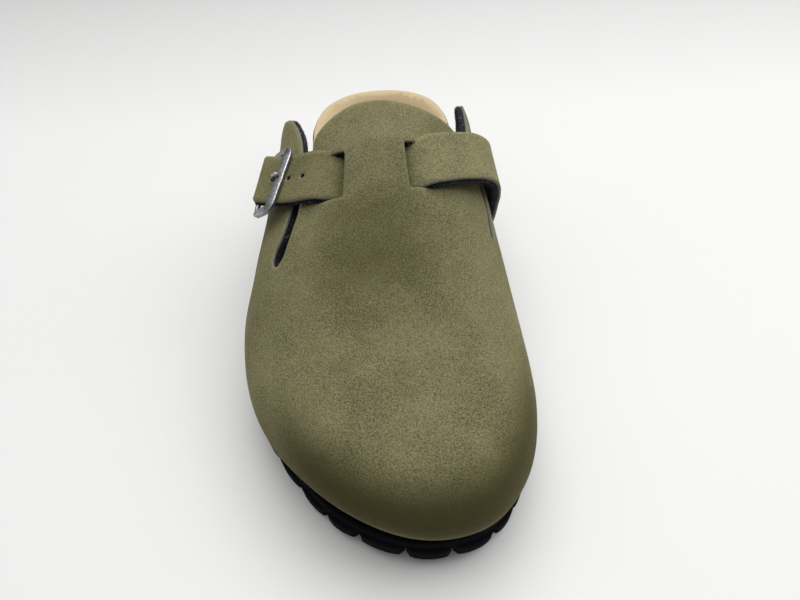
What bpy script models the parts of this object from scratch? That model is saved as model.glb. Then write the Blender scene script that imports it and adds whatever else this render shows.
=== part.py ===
"""Clog slipper for the right foot: a closed, backless upper on a contoured footbed and a lugged outsole.

Lengths are millimetres and are turned into metres by MM where a mesh is made. The toe points to -Y, the heel
to +Y, +X is the inner (big toe) side, and the floor is z = 0. Every piece is worked out from one last: an
outline, a ridge line along the top and the bowed ribs between them.
"""

import math

import bmesh
import bpy
import numpy as np
from mathutils.geometry import delaunay_2d_cdt

MM = 0.001

# Driving sizes
GAP = 0.35  # between curved neighbours
WALL = 4.2  # upper: microfibre with its felt lining
LUG_HEIGHT = 4.2
LUG_PITCH = 16.0
LUG_DEPTH = 8.5  # of a rim lug, towards the middle
LUG_BOW = 1.2  # how far a rim lug is bowed out
RIM_ROOM = 12.5  # the blocks stay this far inside the outline
BLOCK_WIDTH = 12.4
BLOCK_DEPTH = 10.0
BLOCK_ROW = 14.5
BLOCK_COLUMN = 15.5
INSOLE_THICKNESS = 1.2
STRAP_WIDTH = 22.6
STRAP_THICKNESS = 3.3
BUCKLE_BAR_WIDTH = 3.6
BUCKLE_BAR_THICKNESS = 1.9
BUCKLE_ARM_WIDTH = 2.2
PIVOT_RADIUS = 1.1
PRONG_RADIUS = 0.9

# The model's own origin, halfway across and along the whole shoe
CENTRE_X = -6.7
CENTRE_Y = 0.55

# Outline of the last where it meets the sole, from the heel round the outer side, the toe and the inner side
OUTLINE_COLUMNS = ("x", "y")
OUTLINE = (
    (0.0, 127.0),
    (-19.0, 123.5),
    (-33.0, 112.0),
    (-39.5, 92.0),
    (-40.5, 66.0),
    (-42.0, 40.0),
    (-47.5, 12.0),
    (-56.5, -14.0),
    (-63.5, -40.0),
    (-60.0, -66.0),
    (-46.0, -93.0),
    (-25.5, -115.0),
    (3.0, -127.0),
    (27.0, -123.0),
    (42.5, -106.0),
    (50.0, -80.0),
    (50.5, -54.0),
    (47.5, -26.0),
    (43.0, 2.0),
    (40.0, 30.0),
    (39.0, 60.0),
    (39.5, 90.0),
    (33.5, 112.0),
    (19.5, 123.5),
)
TOE_CENTRE_Y = -52.0  # the ribs fan out from here to the toe
HEEL_CENTRE_Y = 88.0  # and from here to the heel

# Heights along the shoe: top of the outsole, ridge of the upper, ground under the lugs, and how far the
# outsole stands out past the upper's foot
LENGTHWISE_COLUMNS = ("y", "feather", "ridge")
LENGTHWISE = (
    (-127.0, 21.0, 53.5),
    (-95.0, 15.4, 55.0),
    (-60.0, 14.0, 58.5),
    (-28.0, 14.1, 70.5),
    (0.0, 15.0, 82.5),
    (20.0, 16.0, 90.0),
    (38.0, 17.0, 95.5),
    (57.0, 17.7, 99.0),
    (127.0, 19.0, 101.0),
)
GROUND_COLUMNS = ("y", "ground", "flare")
GROUND = (
    (-127.0, 7.0, -0.9),
    (-112.0, 4.3, -0.9),
    (-95.0, 2.0, -1.2),
    (-80.0, 0.8, -0.8),
    (-57.0, 0.0, 0.2),
    (40.0, 0.0, 0.8),
    (113.0, 0.0, 0.8),
    (127.0, 1.6, 0.8),
)

# Footbed: its middle, its rim, and the share of the half width where the rim starts to rise
FOOTBED_COLUMNS = ("y", "middle", "rim", "rise_from")
FOOTBED = (
    (-127.0, 30.0, 33.5, 0.80),
    (-105.0, 25.5, 29.5, 0.80),
    (-76.0, 22.5, 26.5, 0.80),
    (-38.0, 22.8, 27.0, 0.72),
    (0.0, 26.5, 31.0, 0.55),
    (38.0, 29.0, 35.0, 0.42),
    (70.0, 28.2, 39.0, 0.38),
    (100.0, 27.5, 44.5, 0.40),
    (127.0, 28.5, 46.5, 0.45),
)

# Bow of a rib: pull at the ridge, pull at the sole, and how far the upper hangs out past the sole
RIB_BALL = {"ridge_pull": 0.65, "sole_pull": 0.76, "overhang": 2.3}
RIB_WAIST = {"ridge_pull": 0.53, "sole_pull": 0.63, "overhang_outer": 8.8, "overhang_inner": 5.9}
OVERHANG_SHARE = 0.26  # share of the sole's pull that shows as overhang

# The upper's pattern: across it from ridge to sole is PATTERN_HALF, along it the stations y.
# Each row is one point of the collar and its slit, from the sole behind the quarter to the tongue.
PATTERN_HALF = 80.0
COLLAR_COLUMNS = ("across", "y")
COLLAR_OUTER = (
    (80.0, 75.0),
    (69.0, 73.0),
    (58.0, 69.0),
    (50.0, 63.5),
    (45.5, 58.5),
    (42.0, 54.0),
    (39.3, 47.7),
    (36.4, 40.0),
    (34.3, 33.0),
    (32.9, 25.0),
    (32.6, 15.0),
    (33.6, 5.0),
    (35.4, -5.5),
    (37.4, -12.7),
    (40.2, -18.0),
    (40.8, -22.0),
    (38.6, -25.4),
    (36.1, -23.6),
    (33.6, -15.5),
    (31.6, -8.0),
    (29.4, 2.0),
    (27.9, 12.0),
    (27.8, 22.0),
    (27.0, 28.0),
    (24.0, 31.5),
    (19.0, 34.2),
    (13.0, 35.6),
    (7.0, 35.4),
    (0.0, 34.7),
)
COLLAR_INNER = (
    (80.0, 77.0),
    (69.0, 76.0),
    (59.0, 74.5),
    (53.0, 72.5),
    (49.2, 68.0),
    (47.9, 61.0),
    (47.0, 52.0),
    (45.4, 42.0),
    (45.0, 32.0),
    (46.0, 22.0),
    (47.6, 12.0),
    (49.0, 2.0),
    (49.0, -7.0),
    (48.3, -13.5),
    (47.0, -17.6),
    (45.8, -14.0),
    (46.0, -7.0),
    (46.2, 1.0),
    (44.6, 8.0),
    (41.5, 16.0),
    (38.0, 24.0),
    (34.4, 30.0),
    (30.0, 32.3),
    (23.5, 33.2),
    (16.0, 33.6),
    (8.0, 34.1),
    (0.0, 34.7),
)

# Strap slots in the vamp, as a share of the pattern: near edge, far edge, front and back
SLOT_OUTER = {"near": -15.2, "far": -25.0, "front": -6.1, "back": 16.7, "slant": 1.0}
SLOT_INNER = {"near": 8.6, "far": 17.6, "front": -6.1, "back": 16.7, "slant": 1.4}
BRIDGE_RISE = 1.8  # the vamp between the slots is pushed up by the strap under it

# Strap: place across the pattern, height of its middle over the upper, and shift along the shoe
STRAP_COLUMNS = ("across", "height", "shift")
STRAP = (
    (-44.4, 9.7, 11.4),
    (-42.5, 8.4, 9.9),
    (-40.0, 6.7, 7.9),
    (-35.0, 4.3, 4.8),
    (-30.0, 3.2, 2.5),
    (-25.0, 2.7, 0.9),
    (-20.5, -1.0, 0.3),
    (-16.0, -4.7, 0.0),
    (-10.0, -4.9, 0.0),
    (2.0, -4.9, 0.0),
    (8.6, -4.8, 0.0),
    (13.0, -0.9, 0.4),
    (17.5, 2.8, 1.4),
    (22.5, 4.2, 3.2),
    (30.0, 6.2, 6.2),
    (37.0, 7.6, 9.8),
    (44.0, 7.4, 13.4),
    (51.0, 5.0, 17.0),
    (58.0, 2.9, 20.5),
    (66.0, 2.1, 23.0),
    (73.0, 2.1, 24.5),
)
STRAP_STATION = 5.3  # y of the strap's middle
STRAP_STEP = 4.0
FREE_END_SLANT = 3.8
HOLE_RADIUS = 1.2
HOLE_SPACING = 7.2
HOLE_BEFORE_BAR = 3.7

# Buckle: places across the pattern
BAR_ACROSS = -36.0  # the bar over the strap
PIVOT_ACROSS = -46.4  # the bar under the strap
BUCKLE_CLEARANCE = 1.5  # beside the strap
BUCKLE_TURN = 3.0  # degrees that it leans forward at its foot
BUCKLE_CORNER = 2.3
PIVOT_CORNER = 4.2
TAB_WIDTH = 12.4
TAB_OFFSET = 1.2  # towards the heel
TAB_THICKNESS = 1.2
TAB_FOOT_ACROSS = -58.0
TAB_DRIFT = 0.9  # towards the heel, per length down the quarter
BUCKLE_FORWARD = 1.1  # the buckle sits a little towards the toe
PIVOT_HEIGHT = 5.0
PIVOT_BACK = 2.2  # the pivot lies this much nearer the heel than the strap's middle
TAB_WINDOW = 14.0  # length of the opening in the fold for the prong
TAB_SLIT = 2.1  # half its width


def read(rows, names, key, name, at):
    """A smooth curve through the named column of a table, read at values of its key column."""
    stations = np.array([row[names.index(key)] for row in rows])
    values = np.array([row[names.index(name)] for row in rows])
    slopes = np.gradient(values, stations)
    at = np.clip(at, stations[0], stations[-1])
    i = np.clip(np.searchsorted(stations, at, side="right") - 1, 0, len(stations) - 2)
    step = stations[i + 1] - stations[i]
    s = (at - stations[i]) / step
    start = (2 * s**3 - 3 * s**2 + 1) * values[i] + (s**3 - 2 * s**2 + s) * step * slopes[i]
    end = (3 * s**2 - 2 * s**3) * values[i + 1] + (s**3 - s**2) * step * slopes[i + 1]
    return start + end


def ease(x):
    """Smooth step from 0 to 1."""
    x = np.clip(x, 0.0, 1.0)
    return x * x * (3.0 - 2.0 * x)


def soft_ramp(x, softness=6.0):
    """x where positive and 0 where negative, with a rounded corner."""
    return softness * np.logaddexp(0.0, x / softness)


def mix(a, b, share):
    return (1.0 - share) * a + share * b


def unit(v):
    return v / np.linalg.norm(v, axis=-1, keepdims=True)


def span_curve(p0, p1, p2, p3, count):
    """The span p1 to p2 of a centripetal curve."""
    knot = [0.0]
    for a, b in ((p0, p1), (p1, p2), (p2, p3)):
        knot.append(knot[-1] + math.sqrt(np.linalg.norm(b - a)))
    u = np.linspace(knot[1], knot[2], count, endpoint=False)[:, None]
    a1 = mix(p0, p1, (u - knot[0]) / (knot[1] - knot[0]))
    a2 = mix(p1, p2, (u - knot[1]) / (knot[2] - knot[1]))
    a3 = mix(p2, p3, (u - knot[2]) / (knot[3] - knot[2]))
    b1 = mix(a1, a2, (u - knot[0]) / (knot[2] - knot[0]))
    b2 = mix(a2, a3, (u - knot[1]) / (knot[3] - knot[1]))
    return mix(b1, b2, (u - knot[1]) / (knot[2] - knot[1]))


def spline(points, spans, closed):
    """Smooth curve through points."""
    points = np.asarray(points, float)
    if closed:
        points = np.vstack([points[-1:], points, points[:2]])
    else:
        points = np.vstack([2 * points[0] - points[1], points, 2 * points[-1] - points[-2]])
    parts = [span_curve(*points[k : k + 4], spans) for k in range(len(points) - 3)]
    if not closed:
        parts.append(points[-2:-1])
    return np.vstack(parts)


def lengths(path):
    """Distance along a path to each of its points."""
    return np.concatenate([[0.0], np.cumsum(np.linalg.norm(np.diff(path, axis=0), axis=1))])


def at_length(path, where):
    """Points of a path at given distances along it."""
    total = lengths(path)
    return np.stack([np.interp(where, total, path[:, k]) for k in range(path.shape[1])], axis=-1)


def evenly(path, spacing):
    """An open path with its points about spacing apart."""
    total = lengths(path)[-1]
    return at_length(path, np.linspace(0.0, total, max(2, round(total / spacing) + 1)))


# The last: its outline, and the ribs from the spine to the outline
EDGE = spline(OUTLINE, 16, closed=True)
TOE_INDEX = EDGE[:, 1].argmin()
OUTER_SIDE = EDGE[: TOE_INDEX + 1][::-1]
INNER_SIDE = np.vstack([EDGE[TOE_INDEX:], EDGE[:1]])
EDGE_LOOP = np.vstack([EDGE, EDGE[:1]])
EDGE_LENGTH = lengths(EDGE_LOOP)[-1]


def spine_x(y):
    """The ridge drifts to the big toe side towards the toe."""
    return 0.5 + 3.0 * np.exp(-(y - TOE_CENTRE_Y) / 45.0)


def centre(y):
    return np.array([spine_x(y), y])


def radius_towards(middle, angle):
    """Distance from a fan's centre to the outline in a direction."""
    arm = EDGE - middle
    angles = np.mod(np.arctan2(arm[:, 1], arm[:, 0]), 2 * np.pi)
    order = angles.argsort()
    return np.interp(angle, angles[order], np.hypot(*arm.T)[order], period=2 * np.pi)


def edge_x(y, side):
    """x of the outline at station y, on the outer (-1) or inner (+1) side."""
    outer = np.interp(y, OUTER_SIDE[:, 1], OUTER_SIDE[:, 0])
    inner = np.interp(y, INNER_SIDE[:, 1], INNER_SIDE[:, 0])
    return np.where(np.asarray(side) < 0, outer, inner)


def rib_point(share, edge):
    """A point of the upper's outer face, a share of the way from the ridge (0) to the sole (1)."""
    y_edge = edge[..., 1]
    y_spine = TOE_CENTRE_Y + soft_ramp(y_edge - TOE_CENTRE_Y)
    y_spine = HEEL_CENTRE_Y - soft_ramp(HEEL_CENTRE_Y - y_spine)
    foot = np.stack([spine_x(y_spine), y_spine], axis=-1)
    arm = edge - foot
    reach = np.linalg.norm(arm, axis=-1)
    waist = ease((y_edge - TOE_CENTRE_Y) / 82.0)
    heel = ease((y_edge - 60.0) / 35.0)
    at_waist = np.where(arm[..., 0] < 0, RIB_WAIST["overhang_outer"], RIB_WAIST["overhang_inner"])
    overhang = mix(mix(RIB_BALL["overhang"], at_waist, waist), 0.5, heel)
    bulge = overhang / reach / OVERHANG_SHARE
    ridge_pull = mix(RIB_BALL["ridge_pull"], RIB_WAIST["ridge_pull"], waist)
    sole_pull = mix(RIB_BALL["sole_pull"], RIB_WAIST["sole_pull"], waist)
    rest = 1.0 - share
    out = 3 * rest**2 * share * ridge_pull + 3 * rest * share**2 * (1 + bulge) + share**3
    up = rest**3 + 3 * rest**2 * share + 3 * rest * share**2 * sole_pull
    plan = foot + out[..., None] * arm
    feather = read(LENGTHWISE, LENGTHWISE_COLUMNS, "y", "feather", y_edge)
    ridge = read(LENGTHWISE, LENGTHWISE_COLUMNS, "y", "ridge", plan[..., 1])
    height = feather + (ridge - feather) * up
    return np.concatenate([plan, height[..., None]], axis=-1)


# The upper's pattern: a is across it, b along it from the toe centre
def pattern_edge(a, b):
    """Share of the rib and its outline point, for a place on the pattern."""
    share = np.where(b >= 0, np.abs(a), np.hypot(a, b)) / PATTERN_HALF
    y = TOE_CENTRE_Y + np.maximum(b, 0.0)
    straight = np.stack([edge_x(y, np.where(a < 0, -1, 1)), y], axis=-1)
    angle = np.arctan2(np.minimum(b, -1e-9), a)
    middle = centre(TOE_CENTRE_Y)
    reach = radius_towards(middle, np.mod(angle, 2 * np.pi))
    fan = middle + reach[..., None] * np.stack([np.cos(angle), np.sin(angle)], axis=-1)
    return share, np.where((b >= 0)[..., None], straight, fan)


def bridge(a, b):
    """How far the strap lifts the vamp between its two slots."""
    y = b + TOE_CENTRE_Y
    across = ease((a - SLOT_OUTER["far"]) / 9.0) * ease((SLOT_INNER["far"] - a) / 9.0)
    lengthwise = ease((y - SLOT_OUTER["front"] + 11.0) / 11.0) * ease((SLOT_OUTER["back"] + 11.0 - y) / 11.0)
    return BRIDGE_RISE * across * lengthwise


def on_last(a, b):
    """Point of the outer face of the plain last."""
    share, edge = pattern_edge(a, b)
    return rib_point(share, edge)


def last_frame(a, b, reach=0.8):
    """Directions across, along and out of the last at a place on the pattern."""
    across = unit(on_last(a + reach, b) - on_last(a - reach, b))
    lengthwise = unit(on_last(a, b + reach) - on_last(a, b - reach))
    return across, lengthwise, unit(np.cross(across, lengthwise))


def on_upper(a, b):
    """Point of the upper's outer face."""
    out = last_frame(a, b)[2]
    return on_last(a, b) + bridge(a, b)[..., None] * out


# Flat patterns and their triangles
def inside(points, loop):
    """Which points lie inside a closed loop."""
    x, y = points[:, 0], points[:, 1]
    hit = np.zeros(len(points), bool)
    for (x1, y1), (x2, y2) in zip(loop, np.roll(loop, -1, axis=0)):
        if y1 == y2:
            continue
        crosses = (y1 > y) != (y2 > y)
        hit ^= crosses & (x < (x2 - x1) * (y - y1) / (y2 - y1) + x1)
    return hit


def grid_inside(outline, others, spacing, clearance):
    """Staggered points inside an outline, clear of it and of the other loops."""
    low, high = outline.min(axis=0), outline.max(axis=0)
    row_step = spacing * math.sqrt(0.75)
    rows = []
    for k, y in enumerate(np.arange(low[1] + row_step / 2, high[1], row_step)):
        x = np.arange(low[0] + spacing * (0.25 + 0.5 * (k % 2)), high[0], spacing)
        rows.append(np.stack([x, np.full_like(x, y)], axis=-1))
    grid = np.vstack(rows)
    grid = grid[inside(grid, outline)]
    for loop in others:
        grid = grid[~inside(grid, loop)]
    for loop in [outline, *others]:
        around = evenly(np.vstack([loop, loop[:1]]), clearance / 2)
        gap = np.linalg.norm(grid[:, None] - around[None], axis=-1).min(axis=1)
        grid = grid[gap > clearance]
    return grid


def fill(outline, holes=(), spacing=8.0, grid=None):
    """Triangles over a flat outline with holes. The outline's points come first, in their order."""
    loops = [outline, *holes]
    if grid is None:
        grid = grid_inside(outline, holes, spacing, spacing * 0.55)
    points = np.vstack([*loops, grid])
    edges = []
    first = 0
    for loop in loops:
        edges += [(first + k, first + (k + 1) % len(loop)) for k in range(len(loop))]
        first += len(loop)
    found = delaunay_2d_cdt([tuple(p) for p in points], edges, [], 1, 1e-5)
    flat = np.array([tuple(v) for v in found[0]])
    faces = np.array([tuple(f) for f in found[2]])
    middles = flat[faces].mean(axis=1)
    keep = inside(middles, outline)
    for hole in holes:
        keep &= ~inside(middles, hole)
    faces = faces[keep]
    side = flat[faces]
    turn = np.cross(side[:, 1] - side[:, 0], side[:, 2] - side[:, 0])
    faces[turn < 0] = faces[turn < 0][:, ::-1]
    return flat, faces


# Objects
def make_object(name, points, faces, material):
    """A mesh object in the shoe's collection, under the shoe's own origin."""
    mesh = bpy.data.meshes.new(name)
    mesh.from_pydata([tuple(p * MM) for p in points], [], [tuple(int(i) for i in f) for f in faces])
    mesh.shade_smooth()
    mesh.set_sharp_from_angle(angle=math.radians(40))
    mesh.materials.append(material)
    piece = bpy.data.objects.new(name, mesh)
    piece.parent = ORIGIN
    SHOE.objects.link(piece)
    return piece


def strip_grid(stations, rows, holes):
    """Inner points of a strip, in lines across it, clear of its holes."""
    grid = np.array([(x, y) for x in stations[1:-1] for y in rows])
    for hole in holes:
        grid = grid[np.linalg.norm(grid[:, None] - hole[None], axis=-1).min(axis=1) > 1.2]
        grid = grid[~inside(grid, hole)]
    return grid


def give_thickness(piece, thickness, offset):
    wall = piece.modifiers.new("wall", "SOLIDIFY")
    wall.thickness = thickness * MM
    wall.offset = offset
    wall.use_even_offset = False
    return wall


def make_material(name, colour, roughness, metallic=0.0):
    material = bpy.data.materials.new(name)
    material.use_nodes = True
    shader = material.node_tree.nodes["Principled BSDF"]
    shader.inputs["Base Color"].default_value = (*colour, 1.0)
    shader.inputs["Roughness"].default_value = roughness
    shader.inputs["Metallic"].default_value = metallic
    return material


def skin(rings, top_height, bottom, spacing):
    """Points and faces of a solid: rings from top to bottom, a top sheet and a given bottom sheet."""
    count = rings.shape[1]
    flat, top_faces = fill(rings[0, :, :2], spacing=spacing)
    top = np.column_stack([flat, top_height(flat)])
    top[:count] = rings[0]
    bottom_flat, bottom_faces, bottom_height = bottom
    under = np.column_stack([bottom_flat, bottom_height(bottom_flat)])
    under[:count] = rings[-1]
    points = [top]
    faces = [tuple(f) for f in top_faces]
    ring_ids = [np.arange(count)]
    total = len(top)
    for ring in rings[1:-1]:
        points.append(ring)
        ring_ids.append(np.arange(total, total + count))
        total += count
    points.append(under)
    ring_ids.append(np.arange(total, total + count))
    faces += [tuple(f[::-1] + total) for f in bottom_faces]
    for upper_ring, lower_ring in zip(ring_ids, ring_ids[1:]):
        for k in range(count):
            j = (k + 1) % count
            faces.append((upper_ring[k], lower_ring[k], lower_ring[j], upper_ring[j]))
    return np.vstack(points), faces, ring_ids[-1]


def edge_frame(where):
    """Outline points and outward plan directions at distances along the outline."""
    where = np.mod(where, EDGE_LENGTH)
    here = at_length(EDGE_LOOP, where)
    ahead = at_length(EDGE_LOOP, np.mod(where + 1.0, EDGE_LENGTH))
    behind = at_length(EDGE_LOOP, np.mod(where - 1.0, EDGE_LENGTH))
    run = unit(ahead - behind)
    return here, np.stack([run[:, 1], -run[:, 0]], axis=-1)


def feather_height(y):
    return read(LENGTHWISE, LENGTHWISE_COLUMNS, "y", "feather", y)


def ground_height(y):
    return np.maximum(read(GROUND, GROUND_COLUMNS, "y", "ground", y), 0.0)


# Outsole
def side_lug(ring, start, inward, depth):
    """A lug of the rim: four points on the outline and two inside it."""
    outer = ring[start : start + 4]
    inner = [outer[3] + depth * inward[start + 3], outer[0] + depth * inward[start]]
    return np.vstack([outer, inner])


def middle_lugs(room):
    """Rows of bevelled blocks across the sole, where all their corners have room."""
    lugs = []
    width, depth = BLOCK_WIDTH / 2, BLOCK_DEPTH / 2
    corners = np.array([(0, -1), (1, -0.52), (1, 0.52), (0, 1), (-1, 0.52), (-1, -0.52)]) * (width, depth)
    for row, y in enumerate(np.arange(room[:, 1].min(), room[:, 1].max(), BLOCK_ROW)):
        for x in np.arange(-4, 5) * BLOCK_COLUMN + (row % 2) * BLOCK_COLUMN / 2:
            block = corners + (x, y)
            if inside(block, room).all():
                lugs.append(block)
    return lugs


def make_outsole(material):
    lobes = round(EDGE_LENGTH / LUG_PITCH)
    pitch = EDGE_LENGTH / lobes
    steps = np.array([0.0, 4.4, 8.7, 13.0]) * pitch / LUG_PITCH
    where = (np.arange(lobes)[:, None] * pitch + steps).ravel()
    edge, out = edge_frame(where)
    flare = read(GROUND, GROUND_COLUMNS, "y", "flare", edge[:, 1])[:, None]
    ground = ground_height(edge[:, 1])
    top = feather_height(edge[:, 1])
    slab = ground + LUG_HEIGHT
    levels = (
        (-0.9, top),
        (0.0, top - 0.9),
        (0.2, mix(slab, top, 0.45)),
        (0.9, mix(slab, top, 0.38)),
        (0.8, slab),
    )
    rings = np.array([np.column_stack([edge + (flare + grow) * out, height]) for grow, height in levels])
    ring = rings[-1, :, :2]
    lugs = [side_lug(ring, 4 * k, -out, LUG_DEPTH) for k in range(lobes)]
    islands = middle_lugs(edge - RIM_ROOM * out)
    corners = [lug[4:] for lug in lugs]
    flat, faces = fill_with_lugs(ring, corners, islands)
    bottom = (flat, faces, lambda p: ground_height(p[:, 1]) + LUG_HEIGHT)
    points, all_faces, low_ring = skin(rings, lambda p: feather_height(p[:, 1]), bottom, 14.0)
    piece = make_object("outsole", points, all_faces, material)
    shape = bmesh.new()
    shape.from_mesh(piece.data)
    push_lugs(shape, [*lugs, *islands], ring, out)
    shape.to_mesh(piece.data)
    shape.free()
    return piece


def fill_with_lugs(ring, corners, islands):
    """Triangles of the underside, with an edge along each side of every lug."""
    count = len(ring)
    points = [tuple(p) for p in ring]
    edges = [(k, (k + 1) % count) for k in range(count)]
    for k, (left, right) in enumerate(corners):
        first = len(points)
        points += [tuple(left), tuple(right)]
        edges += [(4 * k + 3, first), (first, first + 1), (first + 1, 4 * k)]
    for block in islands:
        first = len(points)
        points += [tuple(p) for p in block]
        edges += [(first + k, first + (k + 1) % len(block)) for k in range(len(block))]
    found = delaunay_2d_cdt(points, edges, [], 1, 1e-5)
    flat = np.array([tuple(v) for v in found[0]])
    faces = np.array([tuple(f) for f in found[2]])
    side = flat[faces]
    turn = np.cross(side[:, 1] - side[:, 0], side[:, 2] - side[:, 0])
    faces[turn < 0] = faces[turn < 0][:, ::-1]
    return flat, faces


def push_lugs(shape, lugs, ring, out):
    """Extrudes the lugs down to the ground, each rim lug bowed out between its corners."""
    shape.faces.ensure_lookup_table()
    under = [f for f in shape.faces if f.normal.z < -0.5]
    middles = np.array([tuple(f.calc_center_median().xy) for f in under]) / MM
    chosen = np.zeros(len(under), bool)
    for lug in lugs:
        chosen |= inside(middles, lug)
    blocks = [f for f, pick in zip(under, chosen) if pick]
    grown = bmesh.ops.extrude_face_region(shape, geom=blocks)
    bmesh.ops.delete(shape, geom=[f for f in blocks if f.is_valid], context="FACES")
    for vertex in grown["geom"]:
        if not isinstance(vertex, bmesh.types.BMVert):
            continue
        place = np.array(vertex.co.xy) / MM
        vertex.co.z -= LUG_HEIGHT * MM
        gap = np.linalg.norm(ring - place, axis=1)
        nearest = int(gap.argmin())
        if gap[nearest] < 0.05:
            bow = LUG_BOW if nearest % 4 in (1, 2) else -LUG_BOW / 2
            vertex.co.xy = (place + bow * out[nearest]) * MM


# Footbed and insole
def side_at_height(edge_where, heights, inset):
    """Points of the last's side at given heights, moved in by inset (one row per height)."""
    shares = np.linspace(0.35, 1.0, 80)
    edge = edge_frame(edge_where)[0]
    edge_a = edge_frame(edge_where - 0.5)[0]
    edge_b = edge_frame(edge_where + 0.5)[0]
    rows = []
    for height in heights:
        row = []
        for k in range(len(edge)):
            wall = rib_point(shares, np.broadcast_to(edge[k], (len(shares), 2)))
            share = np.interp(-height[k], -wall[:, 2], shares)
            here = rib_point(np.array([share]), edge[k : k + 1])[0]
            up = rib_point(np.array([share - 0.01]), edge[k : k + 1])[0] - here
            run = rib_point(np.array([share]), edge_b[k : k + 1])[0] - rib_point(np.array([share]), edge_a[k : k + 1])[0]
            normal = unit(np.cross(run, up))
            if normal[:2] @ (here[:2] - centre(np.clip(here[1], TOE_CENTRE_Y, HEEL_CENTRE_Y))) < 0:
                normal = -normal
            flat = np.hypot(*normal[:2])
            row.append([*(here[:2] - inset[k] * normal[:2] / flat**2), height[k]])
        rows.append(row)
    return np.array(rows)


def bed_inset(y):
    """How far the footbed's side lies inside the last: behind the upper's wall, then bare at the heel."""
    return mix(WALL + 2 * GAP + 0.3, 0.5, ease((y - 79.0) / 16.0))


def width_share(plan, inset):
    """0 on the spine and 1 on the footbed's edge, with the side as a sign."""
    y_spine = np.clip(plan[:, 1], TOE_CENTRE_Y, HEEL_CENTRE_Y)
    foot = np.stack([spine_x(y_spine), y_spine], axis=-1)
    arm = plan - foot
    side = np.where(arm[:, 0] < 0, -1, 1)
    reach = np.abs(edge_x(plan[:, 1], side) - foot[:, 0])
    angle = np.arctan2(arm[:, 1], arm[:, 0])
    toe = radius_towards(centre(TOE_CENTRE_Y), np.mod(angle, 2 * np.pi))
    heel = radius_towards(centre(HEEL_CENTRE_Y), np.mod(angle, 2 * np.pi))
    reach = np.where(plan[:, 1] < TOE_CENTRE_Y, toe, np.where(plan[:, 1] > HEEL_CENTRE_Y, heel, reach))
    return side * np.clip(np.linalg.norm(arm, axis=1) / (reach - inset), 0.0, 1.0)


def bed_height(plan):
    """Height of the insole's top face."""
    y = plan[:, 1]
    share = width_share(plan, bed_inset(y))
    middle = read(FOOTBED, FOOTBED_COLUMNS, "y", "middle", y)
    rim = read(FOOTBED, FOOTBED_COLUMNS, "y", "rim", y)
    rise_from = read(FOOTBED, FOOTBED_COLUMNS, "y", "rise_from", y)
    cup = ease((np.abs(share) - rise_from) / (1.0 - rise_from))
    arch = 5.5 * ease((share - 0.15) / 0.6) * (1 - cup) * ease((y + 30.0) / 40.0) * ease((70.0 - y) / 40.0)
    pad = 2.4 * np.exp(-((plan[:, 0] + 3.0) ** 2 + (y + 14.0) ** 2) / 13.0**2)
    toe_bar = 1.3 * np.exp(-(((y + 80.0) / 7.0) ** 2)) * (1 - cup)
    return mix(middle, rim, cup) + arch + pad + toe_bar


def under_bed(plan, depth):
    """Height of a face lying a depth under the insole's top face."""
    step = 0.5
    slope_x = (bed_height(plan + [step, 0.0]) - bed_height(plan - [step, 0.0])) / (2 * step)
    slope_y = (bed_height(plan + [0.0, step]) - bed_height(plan - [0.0, step])) / (2 * step)
    return bed_height(plan) - depth * np.sqrt(1 + np.minimum(slope_x**2 + slope_y**2, 1.5))


def bed_ring(where):
    """The insole's rim line."""
    edge = edge_frame(where)[0]
    rim = read(FOOTBED, FOOTBED_COLUMNS, "y", "rim", edge[:, 1])
    ring = side_at_height(where, [rim], bed_inset(edge[:, 1]) + 1.1)[0]
    ring[:, 2] = bed_height(ring[:, :2])
    return ring


def lowered(ring, depth):
    """The ring moved down to a face under the insole's top."""
    return np.column_stack([ring[:, :2], under_bed(ring[:, :2], depth)])


def make_footbed(material):
    count = 84
    where = np.linspace(0.0, EDGE_LENGTH, count, endpoint=False)
    edge = edge_frame(where)[0]
    inset = bed_inset(edge[:, 1])
    low = feather_height(edge[:, 1]) + GAP
    high = read(FOOTBED, FOOTBED_COLUMNS, "y", "rim", edge[:, 1]) - INSOLE_THICKNESS - GAP
    heights = [high - 1.2, mix(low, high - 1.2, 0.55), mix(low, high, 0.1), low]
    rings = side_at_height(where, heights, inset)
    depth = INSOLE_THICKNESS + GAP
    rings = np.concatenate([lowered(bed_ring(where), depth)[None], rings])
    flat, faces = fill(rings[-1, :, :2], spacing=16.0)
    bottom = (flat, faces, lambda p: feather_height(p[:, 1]) + GAP)
    points, all_faces, _ = skin(rings, lambda p: under_bed(p, depth), bottom, 9.0)
    return make_object("footbed", points, all_faces, material)


def make_insole(material):
    where = np.linspace(0.0, EDGE_LENGTH, 84, endpoint=False)
    ring = bed_ring(where)
    flat, faces = fill(ring[:, :2], spacing=9.0)
    bottom = (flat, faces, lambda p: under_bed(p, INSOLE_THICKNESS))
    rings = np.array([ring, lowered(ring, INSOLE_THICKNESS)])
    points, all_faces, _ = skin(rings, bed_height, bottom, 9.0)
    return make_object("insole", points, all_faces, material)


# Upper
def slot_loop(slot):
    """Outline of a strap slot on the pattern."""
    front = slot["front"] - TOE_CENTRE_Y
    back = slot["back"] - TOE_CENTRE_Y
    far_front, far_back = front + slot["slant"], back + slot["slant"]
    corners = [(slot["near"], front), (slot["far"], far_front), (slot["far"], far_back), (slot["near"], back)]
    loop = np.array(corners + corners[:1])
    return np.vstack([evenly(loop[k : k + 2], 5.0)[:-1] for k in range(4)])


def collar_side(rows, side):
    """One side of the collar, from the sole to the tongue."""
    path = np.array([(side * across, y - TOE_CENTRE_Y) for across, y in rows])
    return evenly(spline(path, 12, closed=False), 4.2)


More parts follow.
